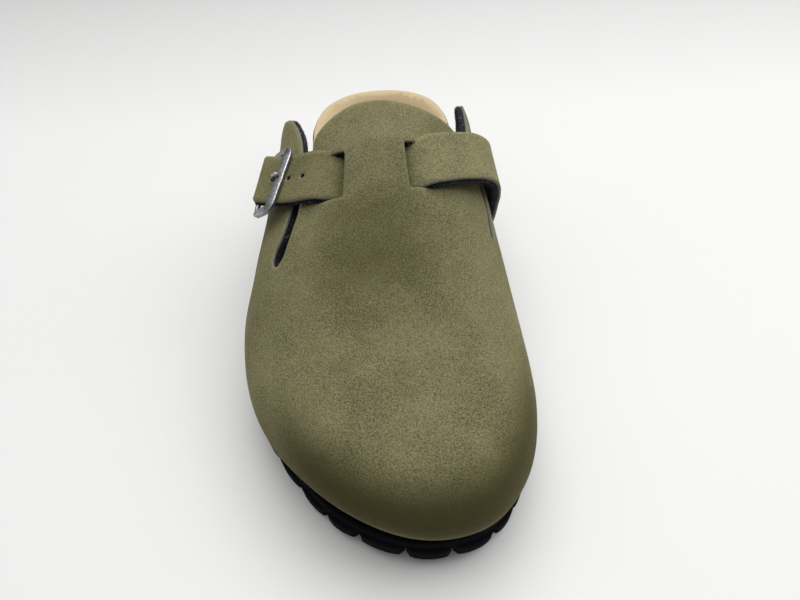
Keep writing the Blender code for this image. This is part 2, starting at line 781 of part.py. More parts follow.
def upper_outline():
    """Outline of the upper's pattern, counter-clockwise."""
    outer = collar_side(COLLAR_OUTER, -1)
    inner = collar_side(COLLAR_INNER, 1)
    angle = np.linspace(math.pi, 2 * math.pi, 37)
    toe = PATTERN_HALF * np.stack([np.cos(angle), np.sin(angle)], axis=-1)
    run = np.linspace(0.0, 1.0, 19)[1:-1, None]
    outer_foot = mix(outer[0], toe[0], run)
    inner_foot = mix(toe[-1], inner[0], run)
    return np.vstack([outer[::-1], outer_foot, toe, inner_foot, inner[:-1]])


def make_upper(material):
    flat, faces = fill(upper_outline(), holes=[slot_loop(SLOT_OUTER), slot_loop(SLOT_INNER)], spacing=7.6)
    points = on_upper(flat[:, 0], flat[:, 1])
    points[:, 2] += GAP
    piece = make_object("upper", points, faces, material)
    give_thickness(piece, WALL, -1.0)
    return piece


# Strap and buckle
STATION = STRAP_STATION - TOE_CENTRE_Y


def over_last(across, height, further=0.0):
    """Places over the last along the strap's middle, further towards the heel if given, and their directions."""
    across = np.asarray(across, float)
    b = STATION + read(STRAP, STRAP_COLUMNS, "across", "shift", across) + further
    run, lengthwise, out = last_frame(across, b, reach=2.0)
    place = on_last(across, b) + np.asarray(height)[..., None] * out
    return place, run, lengthwise, out


def strap_line():
    """The middle line of the strap and its sideways direction, at close places across the pattern."""
    across = np.arange(STRAP[0][0], STRAP[-1][0], 0.5)
    height = read(STRAP, STRAP_COLUMNS, "across", "height", across)
    line, _, lengthwise, _ = over_last(across, height)
    run = unit(np.gradient(line, axis=0))
    sideways = unit(lengthwise - (lengthwise * run).sum(axis=1, keepdims=True) * run)
    return across, line, sideways


def strap_sheet(flat, height=0.0):
    """The strap's flat pattern (length from the free end, sideways) laid on its line, or at a height over it."""
    _, line, sideways = strap_line()
    total = lengths(line)
    out = unit(np.cross(np.gradient(line, axis=0), sideways))
    middle = at_length(line, flat[:, 0])
    turn = np.stack([np.interp(flat[:, 0], total, sideways[:, k]) for k in range(3)], axis=-1)
    over = np.stack([np.interp(flat[:, 0], total, out[:, k]) for k in range(3)], axis=-1)
    return middle + flat[:, 1:2] * unit(turn) + np.reshape(height, (-1, 1)) * unit(over)


def strap_length_at(across):
    """Length from the free end to a place across the pattern."""
    places, line, _ = strap_line()
    return float(np.interp(across, places, lengths(line)))


def ellipse(x, y, half_x, half_y, count):
    angle = np.linspace(0, 2 * math.pi, count, endpoint=False)
    return np.stack([x + half_x * np.cos(angle), y + half_y * np.sin(angle)], axis=-1)


def strap_holes():
    """The working hole, stretched by the prong, and two spare ones."""
    working = strap_length_at(BAR_ACROSS) - HOLE_BEFORE_BAR
    spare = [working + HOLE_SPACING, working + 2 * HOLE_SPACING]
    return [ellipse(working, 0.0, 2.5, 1.4, 10)] + [ellipse(x, 0.0, HOLE_RADIUS, HOLE_RADIUS, 8) for x in spare]


def make_strap(material):
    length = lengths(strap_line()[1])[-1]
    half = STRAP_WIDTH / 2
    stations = np.linspace(0.0, length, round(length / STRAP_STEP) + 1)
    near = np.clip(1.0 - stations / 12.0, 0.0, 1.0)
    front_edge = stations + FREE_END_SLANT * near
    outline = [(x, -half) for x in front_edge] + [(x, half) for x in stations[::-1]]
    holes = strap_holes()
    grid = strip_grid(stations, (-half / 3, half / 3), holes)
    flat, faces = fill(np.array(outline), holes=holes, grid=grid)
    piece = make_object("strap", strap_sheet(flat), faces, material)
    give_thickness(piece, STRAP_THICKNESS, 0.0)
    return piece


def buckle_frame_points():
    """Middles of the bar over the strap and of the pivot under it, and the buckle's directions."""
    across, line, lengthwise = strap_line()
    k = int(np.argmin(np.abs(across - BAR_ACROSS)))
    run = unit(line[k + 1] - line[k - 1])
    strap_out = unit(np.cross(run, lengthwise[k]))
    lift = STRAP_THICKNESS / 2 + GAP + BUCKLE_BAR_THICKNESS / 2
    bar = line[k] + lift * strap_out - BUCKLE_FORWARD * lengthwise[k]
    pivot = over_last(np.array([PIVOT_ACROSS]), np.array([PIVOT_HEIGHT]), PIVOT_BACK - BUCKLE_FORWARD)[0][0]
    down = unit(pivot - bar)
    turn = math.radians(BUCKLE_TURN)
    sideways = math.cos(turn) * lengthwise[k] + math.sin(turn) * run
    return bar, pivot, down, sideways, unit(np.cross(down, -sideways)), strap_out


def octagon(width, thickness, bevel):
    """Corners of a bevelled bar's section."""
    x, y = width / 2, thickness / 2
    quarter = [(x, -y + bevel), (x, y - bevel), (x - bevel, y), (-x + bevel, y)]
    return np.array(quarter + [(-a, -b) for a, b in quarter])


def sweep_loop(name, path, sections, normals, material):
    """A closed ring: a section at each point of a loop."""
    run = unit(np.roll(path, -1, axis=0) - np.roll(path, 1, axis=0))
    side = unit(np.cross(run, normals))
    count, size = len(path), len(sections[0])
    points = [path[k] + x * side[k] + y * normals[k] for k in range(count) for x, y in sections[k]]
    faces = []
    for k in range(count):
        for j in range(size):
            a, b = k * size + j, k * size + (j + 1) % size
            c, d = ((k + 1) % count) * size + (j + 1) % size, ((k + 1) % count) * size + j
            faces.append((a, d, c, b))
    return make_object(name, np.array(points), faces, material)


def make_buckle_frame(material):
    bar, pivot, down, sideways, out, strap_out = buckle_frame_points()
    half = (STRAP_WIDTH + BUCKLE_ARM_WIDTH) / 2 + BUCKLE_CLEARANCE
    drop = np.linalg.norm(pivot - bar)
    loop = []
    for x, y, turn in ((drop, half, 0), (0.0, half, 90), (0.0, -half, 180), (drop, -half, 270)):
        corner = BUCKLE_CORNER if x == 0.0 else PIVOT_CORNER
        inner_x = x + corner * (1 if x == 0.0 else -1)
        inner_y = y - corner * np.sign(y)
        for angle in np.radians(np.linspace(turn, turn + 90, 4)):
            loop.append((inner_x + corner * math.cos(angle), inner_y + corner * math.sin(angle)))
    loop = np.array(loop)
    path = bar + loop[:, :1] * down + loop[:, 1:] * sideways
    round_bar = octagon(2 * PIVOT_RADIUS, 2 * PIVOT_RADIUS, 0.6 * PIVOT_RADIUS)
    flat_bar = octagon(BUCKLE_BAR_WIDTH, BUCKLE_BAR_THICKNESS, 0.45)
    arm = octagon(BUCKLE_ARM_WIDTH, BUCKLE_BAR_THICKNESS, 0.45)
    sections = [round_bar if x > drop - 1.0 else flat_bar if x < 1.0 else arm for x, _ in loop]
    normals = np.array([strap_out if x < 1.0 else unit(strap_out + out) if x < 2.5 else out for x, _ in loop])
    return sweep_loop("buckle_frame", path, sections, normals, material)


def tube(name, path, radius, material):
    """A round wire along a path, as a curve made into a mesh."""
    curve = bpy.data.curves.new(name, "CURVE")
    curve.dimensions = "3D"
    curve.bevel_depth = radius * MM
    curve.bevel_resolution = 2
    curve.use_fill_caps = True
    line = curve.splines.new("POLY")
    line.points.add(len(path) - 1)
    for point, place in zip(line.points, path):
        point.co = (*(place * MM), 1.0)
    guide = bpy.data.objects.new(name + "_guide", curve)
    SHOE.objects.link(guide)
    graph = bpy.context.evaluated_depsgraph_get()
    mesh = bpy.data.meshes.new_from_object(guide.evaluated_get(graph))
    bpy.data.objects.remove(guide)
    shape = bmesh.new()
    shape.from_mesh(mesh)
    bmesh.ops.remove_doubles(shape, verts=shape.verts, dist=0.00001)
    shape.to_mesh(mesh)
    shape.free()
    mesh.name = name
    mesh.materials.clear()
    mesh.materials.append(material)
    piece = bpy.data.objects.new(name, mesh)
    piece.parent = ORIGIN
    SHOE.objects.link(piece)
    return piece


def make_buckle_prong(material):
    """Hooked under the pivot, along the strap's underside, up through its hole and down on the bar."""
    _, pivot, down, _, out, _ = buckle_frame_points()
    hook = PIVOT_RADIUS + GAP + PRONG_RADIUS
    path = [pivot + hook * (math.cos(a) * -down + math.sin(a) * out) for a in np.radians([-165, -125, -85, -50])]
    beside = STRAP_THICKNESS / 2 + GAP + PRONG_RADIUS
    on_bar = beside + BUCKLE_BAR_THICKNESS + GAP
    before_bar = np.array([-6.6, -5.2, -4.0, -3.5, -2.2, 0.0])
    heights = np.array([-beside - 0.1, -beside + 0.1, -0.2, beside, on_bar - 0.2, on_bar])
    flat = np.column_stack([strap_length_at(BAR_ACROSS) + before_bar, np.zeros(6)])
    path = np.vstack([path, strap_sheet(flat, heights)])
    return tube("buckle_prong", evenly(spline(path, 6, closed=False), 1.6), PRONG_RADIUS, material)


def tab_line(pivot, down, sideways, out, beside):
    """A line of the tab beside the pivot's middle: up the quarter, round the pivot and back."""
    wrap = PIVOT_RADIUS + GAP + TAB_THICKNESS / 2
    low = GAP + TAB_THICKNESS / 2 + 0.2
    high = low + TAB_THICKNESS + GAP
    foot = np.linspace(TAB_FOOT_ACROSS, PIVOT_ACROSS - 3.0, 4)
    back = TAB_DRIFT * (PIVOT_ACROSS - foot) + PIVOT_BACK - BUCKLE_FORWARD + beside
    under = over_last(foot, [low, low, low, low + 0.8], back)[0]
    over = over_last(foot[::-1], [PIVOT_HEIGHT + 1.0, high + 0.9, high, high], back[::-1])[0]
    angles = np.radians([-80, -40, 0, 40, 80])
    turn = [pivot + beside * sideways + wrap * (math.cos(a) * -down + math.sin(a) * out) for a in angles]
    return evenly(spline(np.vstack([under, turn, over]), 5, closed=False), 0.5)


def make_buckle_tab(material):
    """Folded round the pivot, both ends on the quarter."""
    _, pivot, down, sideways, out, _ = buckle_frame_points()
    sides = TAB_OFFSET + TAB_WIDTH * np.array([-0.5, 0.0, 0.5])
    lines = [tab_line(pivot, down, sideways, out, y) for y in sides]
    length = lengths(lines[1])[-1]
    total = np.linspace(0.0, length, round(length / 1.9) + 1)
    flat_outline = [(x, sides[0]) for x in total] + [(x, sides[2]) for x in total[::-1]]
    bend = [x for x in total if abs(x - length / 2) < TAB_WINDOW / 2]
    window = np.array([(x, -TAB_SLIT) for x in bend] + [(x, TAB_SLIT) for x in bend[::-1]])
    flat, faces = fill(np.array(flat_outline), holes=[window], grid=strip_grid(total, (TAB_SLIT + 2.6,), [window]))
    low, middle, high = (at_length(line, flat[:, 0] / length * lengths(line)[-1]) for line in lines)
    place = (flat[:, 1:2] - sides[1]) / (sides[2] - sides[1])
    bowed = middle + place * (high - low) / 2 + place**2 * ((high + low) / 2 - middle)
    piece = make_object("buckle_tab", bowed, faces, material)
    give_thickness(piece, TAB_THICKNESS, 0.0)
    return piece


for leftover in list(bpy.data.objects):
    bpy.data.objects.remove(leftover)
SHOE = bpy.data.collections.new("clog_slipper")
bpy.context.scene.collection.children.link(SHOE)
ORIGIN = bpy.data.objects.new("shoe_origin", None)
ORIGIN.location = (-CENTRE_X * MM, -CENTRE_Y * MM, 0.0)
SHOE.objects.link(ORIGIN)

microfibre = make_material("olive_microfibre", (0.16, 0.15, 0.085), 0.9)
cork = make_material("cork", (0.45, 0.30, 0.17), 0.85)
lining = make_material("beige_lining", (0.60, 0.47, 0.30), 0.8)
foam = make_material("black_foam_rubber", (0.012, 0.012, 0.014), 0.7)
silver = make_material("aged_silver", (0.35, 0.35, 0.36), 0.4, metallic=1.0)

make_outsole(foam)
make_footbed(cork)
make_insole(lining)
make_upper(microfibre)
make_strap(microfibre)
make_buckle_frame(silver)
make_buckle_prong(silver)
make_buckle_tab(microfibre)
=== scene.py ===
"""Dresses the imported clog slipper: fine skins, felt, strap, buckle, footbed and lugged sole over its solids.

Lengths in the shape functions are millimetres in the last's own frame. placed() turns them into metres and
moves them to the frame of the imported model. The toe points to -Y and +X is the inner side.
"""

import math

import bpy
import numpy as np
from mathutils import Matrix, Vector
from mathutils.geometry import delaunay_2d_cdt


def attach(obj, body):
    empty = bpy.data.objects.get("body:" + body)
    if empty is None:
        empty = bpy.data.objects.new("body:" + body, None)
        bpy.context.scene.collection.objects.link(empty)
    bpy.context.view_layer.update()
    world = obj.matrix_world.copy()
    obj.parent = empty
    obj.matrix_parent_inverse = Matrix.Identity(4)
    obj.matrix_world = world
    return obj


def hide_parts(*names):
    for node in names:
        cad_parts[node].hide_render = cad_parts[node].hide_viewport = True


bl_info = {
    "name": "Clog slipper",
    "version": (1, 0, 0),
    "blender": (4, 5, 0),
    "location": "3D View > Sidebar > Clog",
    "description": "Builds the dressed clog slipper over its packed solids",
    "category": "Add Mesh",
}

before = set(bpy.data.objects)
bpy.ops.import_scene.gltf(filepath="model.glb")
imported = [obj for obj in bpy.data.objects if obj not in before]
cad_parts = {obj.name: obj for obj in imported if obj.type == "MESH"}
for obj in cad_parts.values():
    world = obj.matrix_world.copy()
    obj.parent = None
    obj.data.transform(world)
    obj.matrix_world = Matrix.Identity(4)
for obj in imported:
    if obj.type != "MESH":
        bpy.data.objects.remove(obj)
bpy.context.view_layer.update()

MM = 0.001

# Sizes shared with the solids
GAP = 0.35
WALL = 4.2
LUG_HEIGHT = 4.2
LUG_PITCH = 16.0
LUG_DEPTH = 8.5
RIM_ROOM = 12.5
BLOCK_WIDTH = 12.4
BLOCK_DEPTH = 10.0
BLOCK_ROW = 14.5
BLOCK_COLUMN = 15.5
INSOLE_THICKNESS = 1.2
STRAP_WIDTH = 22.6
STRAP_THICKNESS = 3.3
BUCKLE_BAR_WIDTH = 4.0
BUCKLE_BAR_THICKNESS = 1.9
BUCKLE_ARM_WIDTH = 3.3
PIVOT_RADIUS = 1.1
PRONG_RADIUS = 0.9

# The model's own origin, halfway across and along the whole shoe
CENTRE_X = -6.7
CENTRE_Y = 0.55

# Outline of the last where it meets the sole, from the heel round the outer side, the toe and the inner side.
# Each row is x and y.
OUTLINE = (
    (0.0, 127.0),
    (-19.0, 123.5),
    (-33.0, 112.0),
    (-39.5, 92.0),
    (-40.5, 66.0),
    (-42.0, 40.0),
    (-47.5, 12.0),
    (-56.5, -14.0),
    (-63.5, -40.0),
    (-60.0, -66.0),
    (-46.0, -93.0),
    (-25.5, -115.0),
    (3.0, -127.0),
    (27.0, -123.0),
    (42.5, -106.0),
    (50.0, -80.0),
    (50.5, -54.0),
    (47.5, -26.0),
    (43.0, 2.0),
    (40.0, 30.0),
    (39.0, 60.0),
    (39.5, 90.0),
    (33.5, 112.0),
    (19.5, 123.5),
)
TOE_CENTRE_Y = -52.0  # the ribs fan out from here to the toe
HEEL_CENTRE_Y = 88.0  # and from here to the heel

# Heights along the shoe: top of the outsole, ridge of the upper, ground under the lugs, and how far the
# outsole stands out past the upper's foot
LENGTHWISE_COLUMNS = ("y", "feather", "ridge")
LENGTHWISE = (
    (-127.0, 21.0, 53.5),
    (-95.0, 15.4, 55.0),
    (-60.0, 14.0, 58.5),
    (-28.0, 14.1, 70.5),
    (0.0, 15.0, 82.5),
    (20.0, 16.0, 90.0),
    (38.0, 17.0, 95.5),
    (57.0, 17.7, 99.0),
    (127.0, 19.0, 101.0),
)
GROUND_COLUMNS = ("y", "ground", "flare")
GROUND = (
    (-127.0, 7.0, -0.9),
    (-112.0, 4.3, -0.9),
    (-95.0, 2.0, -1.2),
    (-80.0, 0.8, -0.8),
    (-57.0, 0.0, 0.2),
    (40.0, 0.0, 0.8),
    (113.0, 0.0, 0.8),
    (127.0, 1.6, 0.8),
)

# Footbed: its middle, its rim, and the share of the half width where the rim starts to rise
FOOTBED_COLUMNS = ("y", "middle", "rim", "rise_from")
FOOTBED = (
    (-127.0, 30.0, 33.5, 0.80),
    (-105.0, 25.5, 29.5, 0.80),
    (-76.0, 22.5, 26.5, 0.80),
    (-38.0, 22.8, 27.0, 0.72),
    (0.0, 26.5, 31.0, 0.55),
    (38.0, 29.0, 35.0, 0.42),
    (70.0, 28.2, 39.0, 0.38),
    (100.0, 27.5, 44.5, 0.40),
    (127.0, 28.5, 46.5, 0.45),
)

# Bow of a rib: pull at the ridge, pull at the sole, and how far the upper hangs out past the sole
RIB_BALL = {"ridge_pull": 0.65, "sole_pull": 0.76, "overhang": 2.3}
RIB_WAIST = {"ridge_pull": 0.53, "sole_pull": 0.63, "overhang_outer": 8.8, "overhang_inner": 5.9}
OVERHANG_SHARE = 0.26  # share of the sole's pull that shows as overhang

# The upper's pattern: across it from ridge to sole is PATTERN_HALF, along it the stations y.
# Each row is one point of the collar and its slit, across the pattern and along y, from the sole behind
# the quarter to the tongue.
PATTERN_HALF = 80.0
COLLAR_OUTER = (
    (80.0, 75.0),
    (69.0, 73.0),
    (58.0, 69.0),
    (50.0, 63.5),
    (45.5, 58.5),
    (42.0, 54.0),
    (39.3, 47.7),
    (36.4, 40.0),
    (34.3, 33.0),
    (32.9, 25.0),
    (32.6, 15.0),
    (33.6, 5.0),
    (35.4, -5.5),
    (37.4, -12.7),
    (40.2, -18.0),
    (40.8, -22.0),
    (38.6, -25.4),
    (36.1, -23.6),
    (33.6, -15.5),
    (31.6, -8.0),
    (29.4, 2.0),
    (27.9, 12.0),
    (27.8, 22.0),
    (27.0, 28.0),
    (24.0, 31.5),
    (19.0, 34.2),
    (13.0, 35.6),
    (7.0, 35.4),
    (0.0, 34.7),
)
COLLAR_INNER = (
    (80.0, 77.0),
    (69.0, 76.0),
    (59.0, 74.5),
    (53.0, 72.5),
    (49.2, 68.0),
    (47.9, 61.0),
    (47.0, 52.0),
    (45.4, 42.0),
    (45.0, 32.0),
    (46.0, 22.0),
    (47.6, 12.0),
    (49.0, 2.0),
    (49.0, -7.0),
    (48.3, -13.5),
    (47.0, -17.6),
    (45.8, -14.0),
    (46.0, -7.0),
    (46.2, 1.0),
    (44.6, 8.0),
    (41.5, 16.0),
    (38.0, 24.0),
    (34.4, 30.0),
    (30.0, 32.3),
    (23.5, 33.2),
    (16.0, 33.6),
    (8.0, 34.1),
    (0.0, 34.7),
)

# Strap slots in the vamp: near edge and far edge across the pattern, front and back along y, and how much
# further back the far edge lies
SLOT_OUTER = {"near": -15.2, "far": -25.0, "front": -7.1, "back": 13.2, "slant": 1.6}
SLOT_INNER = {"near": 7.4, "far": 17.6, "front": -6.5, "back": 13.8, "slant": 2.0}
BRIDGE_RISE = 1.8  # the vamp between the slots is pushed up by the strap under it
BRIDGE_SIDE = 9.0  # width of the slope at the bridge's sides
BRIDGE_END = 11.0  # length of the slope at its front and back

# Strap: place across the pattern, height of its middle over the upper, and shift along the shoe
STRAP_COLUMNS = ("across", "height", "shift")
STRAP = (
    (-44.4, 9.7, 11.4),
    (-42.5, 8.4, 9.9),
    (-40.0, 6.7, 7.9),
    (-35.0, 4.3, 4.8),
    (-30.0, 3.2, 2.5),
    (-25.0, 2.7, 0.9),
    (-20.5, -1.0, 0.3),
    (-16.0, -4.7, 0.0),
    (-10.0, -4.9, 0.0),
    (2.0, -4.9, 0.0),
    (8.6, -4.8, 0.0),
    (13.0, -0.9, 0.4),
    (17.5, 2.8, 1.4),
    (22.5, 4.2, 3.2),
    (30.0, 6.2, 6.2),
    (37.0, 7.6, 9.8),
    (44.0, 7.4, 13.4),
    (51.0, 5.0, 17.0),
    (58.0, 2.9, 20.5),
    (66.0, 2.1, 23.0),
    (73.0, 2.1, 24.5),
)
STRAP_STATION = 5.3  # y of the strap's middle
FREE_END_SLANT = 3.8
HOLE_RADIUS = 1.2
HOLE_SPACING = 7.2
HOLE_BEFORE_BAR = 3.7

# Buckle: places across the pattern
BAR_ACROSS = -36.0  # the bar over the strap
PIVOT_ACROSS = -46.4  # the bar under the strap
BUCKLE_CLEARANCE = 1.5  # beside the strap
BUCKLE_TURN = 3.0  # degrees that it leans forward at its foot
BUCKLE_CORNER = 3.6
PIVOT_CORNER = 4.2
TAB_WIDTH = 12.4
TAB_OFFSET = 1.2  # towards the heel
TAB_THICKNESS = 1.2
TAB_FOOT_ACROSS = -58.0
TAB_DRIFT = 0.9  # towards the heel, per length down the quarter
BUCKLE_FORWARD = 1.1  # the buckle sits a little towards the toe
PIVOT_HEIGHT = 5.0
PIVOT_BACK = 2.2  # the pivot lies this much nearer the heel than the strap's middle
TAB_WINDOW = 14.0  # length of the opening in the fold for the prong
TAB_SLIT = 2.1  # half its width
BUCKLE_ARM_DEPTH = 2.5
PRONG_DIP = 0.22  # the bar's hollow under the prong
STITCH_INSET = 1.3  # from the tab's edges
STITCH_BOX = 9.5  # from the tab's end to the last row of stitches
STITCH_PITCH = 2.5
STITCH_LENGTH = 1.9
THREAD_RADIUS = 0.22

# Microfibre and felt
GLUE = 0.05  # room between the two
EDGE_FADE = 1.3  # how far the wear of an edge reaches into the face
RIM_STEPS = np.linspace(0.0, 1.0, 6)[1:-1]  # rows round a cut edge, as shares of the thickness
RIM_FROM = 0.6  # fibres grow where the edge value is over this
FIBRE_TILT = 1.3  # radians
FIBRE_SIZES = (0.5, 1.1)
SHEEN_OF_NAP = 0.25
PAINTED_SHADE_SHARES = (0.27, 0.25, 0.14)  # what is left of red, green and blue under the painted shade
STRAP_PAINTED_LIGHT = 1.2  # painted light: how much paler the strap's nap is drawn than the upper's


def read(rows, names, key, name, at):
    """A smooth curve through the named column of a table, read at values of its key column."""
    stations = np.array([row[names.index(key)] for row in rows])
    values = np.array([row[names.index(name)] for row in rows])
    slopes = np.gradient(values, stations)
    at = np.clip(at, stations[0], stations[-1])
    i = np.clip(np.searchsorted(stations, at, side="right") - 1, 0, len(stations) - 2)
    step = stations[i + 1] - stations[i]
    s = (at - stations[i]) / step
    start = (2 * s**3 - 3 * s**2 + 1) * values[i] + (s**3 - 2 * s**2 + s) * step * slopes[i]
    end = (3 * s**2 - 2 * s**3) * values[i + 1] + (s**3 - s**2) * step * slopes[i + 1]
    return start + end


def ease(x):
    """Smooth step from 0 to 1."""
    x = np.clip(x, 0.0, 1.0)
    return x * x * (3.0 - 2.0 * x)


def soft_ramp(x, softness=6.0):
    """x where positive and 0 where negative, with a rounded corner."""
    return softness * np.logaddexp(0.0, x / softness)


def mix(a, b, share):
    return (1.0 - share) * a + share * b


def unit(v):
    return v / np.linalg.norm(v, axis=-1, keepdims=True)


def span_curve(p0, p1, p2, p3, count):
    """The span p1 to p2 of a centripetal curve."""
    knot = [0.0]
    for a, b in ((p0, p1), (p1, p2), (p2, p3)):
        knot.append(knot[-1] + math.sqrt(np.linalg.norm(b - a)))
    u = np.linspace(knot[1], knot[2], count, endpoint=False)[:, None]
    a1 = mix(p0, p1, (u - knot[0]) / (knot[1] - knot[0]))
    a2 = mix(p1, p2, (u - knot[1]) / (knot[2] - knot[1]))
    a3 = mix(p2, p3, (u - knot[2]) / (knot[3] - knot[2]))
    b1 = mix(a1, a2, (u - knot[0]) / (knot[2] - knot[0]))
    b2 = mix(a2, a3, (u - knot[1]) / (knot[3] - knot[1]))
    return mix(b1, b2, (u - knot[1]) / (knot[2] - knot[1]))


def spline(points, spans, closed):
    """Smooth curve through points."""
    points = np.asarray(points, float)
    if closed:
        points = np.vstack([points[-1:], points, points[:2]])
    else:
        points = np.vstack([2 * points[0] - points[1], points, 2 * points[-1] - points[-2]])
    parts = [span_curve(*points[k : k + 4], spans) for k in range(len(points) - 3)]
    if not closed:
        parts.append(points[-2:-1])
    return np.vstack(parts)


def lengths(path):
    """Distance along a path to each of its points."""
    return np.concatenate([[0.0], np.cumsum(np.linalg.norm(np.diff(path, axis=0), axis=1))])


def at_length(path, where):
    """Points of a path at given distances along it."""
    total = lengths(path)
    return np.stack([np.interp(where, total, path[:, k]) for k in range(path.shape[1])], axis=-1)


def evenly(path, spacing):
    """An open path with its points about spacing apart."""
    total = lengths(path)[-1]
    return at_length(path, np.linspace(0.0, total, max(2, round(total / spacing) + 1)))


# The last: its outline, and the ribs from the spine to the outline
EDGE = spline(OUTLINE, 16, closed=True)
TOE_INDEX = EDGE[:, 1].argmin()
OUTER_SIDE = EDGE[: TOE_INDEX + 1][::-1]
INNER_SIDE = np.vstack([EDGE[TOE_INDEX:], EDGE[:1]])
EDGE_LOOP = np.vstack([EDGE, EDGE[:1]])
EDGE_LENGTH = lengths(EDGE_LOOP)[-1]


def spine_x(y):
    """The ridge drifts to the big toe side towards the toe."""
    return 0.5 + 3.0 * np.exp(-(y - TOE_CENTRE_Y) / 45.0)


def centre(y):
    return np.array([spine_x(y), y])


def radius_towards(middle, angle):
    """Distance from a fan's centre to the outline in a direction."""
    arm = EDGE - middle
    angles = np.mod(np.arctan2(arm[:, 1], arm[:, 0]), 2 * np.pi)
    order = angles.argsort()
    return np.interp(angle, angles[order], np.hypot(*arm.T)[order], period=2 * np.pi)


def edge_x(y, side):
    """x of the outline at station y, on the outer (-1) or inner (+1) side."""
    outer = np.interp(y, OUTER_SIDE[:, 1], OUTER_SIDE[:, 0])
    inner = np.interp(y, INNER_SIDE[:, 1], INNER_SIDE[:, 0])
    return np.where(np.asarray(side) < 0, outer, inner)


def rib_point(share, edge):
    """A point of the upper's outer face, a share of the way from the ridge (0) to the sole (1)."""
    y_edge = edge[..., 1]
    y_spine = TOE_CENTRE_Y + soft_ramp(y_edge - TOE_CENTRE_Y)
    y_spine = HEEL_CENTRE_Y - soft_ramp(HEEL_CENTRE_Y - y_spine)
    foot = np.stack([spine_x(y_spine), y_spine], axis=-1)
    arm = edge - foot
    reach = np.linalg.norm(arm, axis=-1)
    waist = ease((y_edge - TOE_CENTRE_Y) / 82.0)
    heel = ease((y_edge - 60.0) / 35.0)
    at_waist = np.where(arm[..., 0] < 0, RIB_WAIST["overhang_outer"], RIB_WAIST["overhang_inner"])
    overhang = mix(mix(RIB_BALL["overhang"], at_waist, waist), 0.5, heel)
    bulge = overhang / reach / OVERHANG_SHARE
    ridge_pull = mix(RIB_BALL["ridge_pull"], RIB_WAIST["ridge_pull"], waist)
    sole_pull = mix(RIB_BALL["sole_pull"], RIB_WAIST["sole_pull"], waist)
    rest = 1.0 - share
    out = 3 * rest**2 * share * ridge_pull + 3 * rest * share**2 * (1 + bulge) + share**3
    up = rest**3 + 3 * rest**2 * share + 3 * rest * share**2 * sole_pull
    plan = foot + out[..., None] * arm
    feather = read(LENGTHWISE, LENGTHWISE_COLUMNS, "y", "feather", y_edge)
    ridge = read(LENGTHWISE, LENGTHWISE_COLUMNS, "y", "ridge", plan[..., 1])
    height = feather + (ridge - feather) * up
    return np.concatenate([plan, height[..., None]], axis=-1)


# The upper's pattern: a is across it, b along it from the toe centre
def pattern_edge(a, b):
    """Share of the rib and its outline point, for a place on the pattern."""
    share = np.where(b >= 0, np.abs(a), np.hypot(a, b)) / PATTERN_HALF
    y = TOE_CENTRE_Y + np.maximum(b, 0.0)
    straight = np.stack([edge_x(y, np.where(a < 0, -1, 1)), y], axis=-1)
    angle = np.arctan2(np.minimum(b, -1e-9), a)
    middle = centre(TOE_CENTRE_Y)
    reach = radius_towards(middle, np.mod(angle, 2 * np.pi))
    fan = middle + reach[..., None] * np.stack([np.cos(angle), np.sin(angle)], axis=-1)
    return share, np.where((b >= 0)[..., None], straight, fan)


def bridge(a, b):
    """How far the strap lifts the vamp between its two slots."""
    y = b + TOE_CENTRE_Y
    across = ease((a - SLOT_OUTER["far"]) / BRIDGE_SIDE) * ease((SLOT_INNER["far"] - a) / BRIDGE_SIDE)
    from_front = ease((y - SLOT_OUTER["front"] + BRIDGE_END) / BRIDGE_END)
    from_back = ease((SLOT_OUTER["back"] + BRIDGE_END - y) / BRIDGE_END)
    return BRIDGE_RISE * across * (from_front * from_back)


def on_last(a, b):
    """Point of the outer face of the plain last."""
    share, edge = pattern_edge(a, b)
    return rib_point(share, edge)


def last_frame(a, b, reach=0.8):
    """Directions across, along and out of the last at a place on the pattern."""
    across = unit(on_last(a + reach, b) - on_last(a - reach, b))
    lengthwise = unit(on_last(a, b + reach) - on_last(a, b - reach))
    return across, lengthwise, unit(np.cross(across, lengthwise))


# Flat patterns and their triangles
def inside(points, loop):
    """Which points lie inside a closed loop."""
    x, y = points[:, 0], points[:, 1]
    hit = np.zeros(len(points), bool)
    for (x1, y1), (x2, y2) in zip(loop, np.roll(loop, -1, axis=0)):
        if y1 == y2:
            continue
        crosses = (y1 > y) != (y2 > y)
        hit ^= crosses & (x < (x2 - x1) * (y - y1) / (y2 - y1) + x1)
    return hit


def nearest(points, others):
    """Distance from each point to the nearest of the others."""
    parts = [np.linalg.norm(some[:, None] - others[None], axis=-1).min(axis=1) for some in chunks(points)]
    return np.concatenate(parts)


def chunks(points, size=400):
    return [points[k : k + size] for k in range(0, len(points), size)]


def grid_inside(outline, others, spacing, clearance):
    """Staggered points inside an outline, clear of it and of the other loops."""
    low, high = outline.min(axis=0), outline.max(axis=0)
    row_step = spacing * math.sqrt(0.75)
    rows = []
    for k, y in enumerate(np.arange(low[1] + row_step / 2, high[1], row_step)):
        x = np.arange(low[0] + spacing * (0.25 + 0.5 * (k % 2)), high[0], spacing)
        rows.append(np.stack([x, np.full_like(x, y)], axis=-1))
    grid = np.vstack(rows)
    grid = grid[inside(grid, outline)]
    for loop in others:
        grid = grid[~inside(grid, loop)]
    for loop in [outline, *others]:
        around = evenly(np.vstack([loop, loop[:1]]), clearance)
        grid = grid[nearest(grid, around) > clearance]
    return grid


def strip_grid(stations, rows, holes):
    """Inner points of a strip, in lines across it, clear of its holes."""
    grid = np.array([(x, y) for x in stations[1:-1] for y in rows])
    for hole in holes:
        grid = grid[nearest(grid, hole) > 0.7]
        grid = grid[~inside(grid, hole)]
    return grid


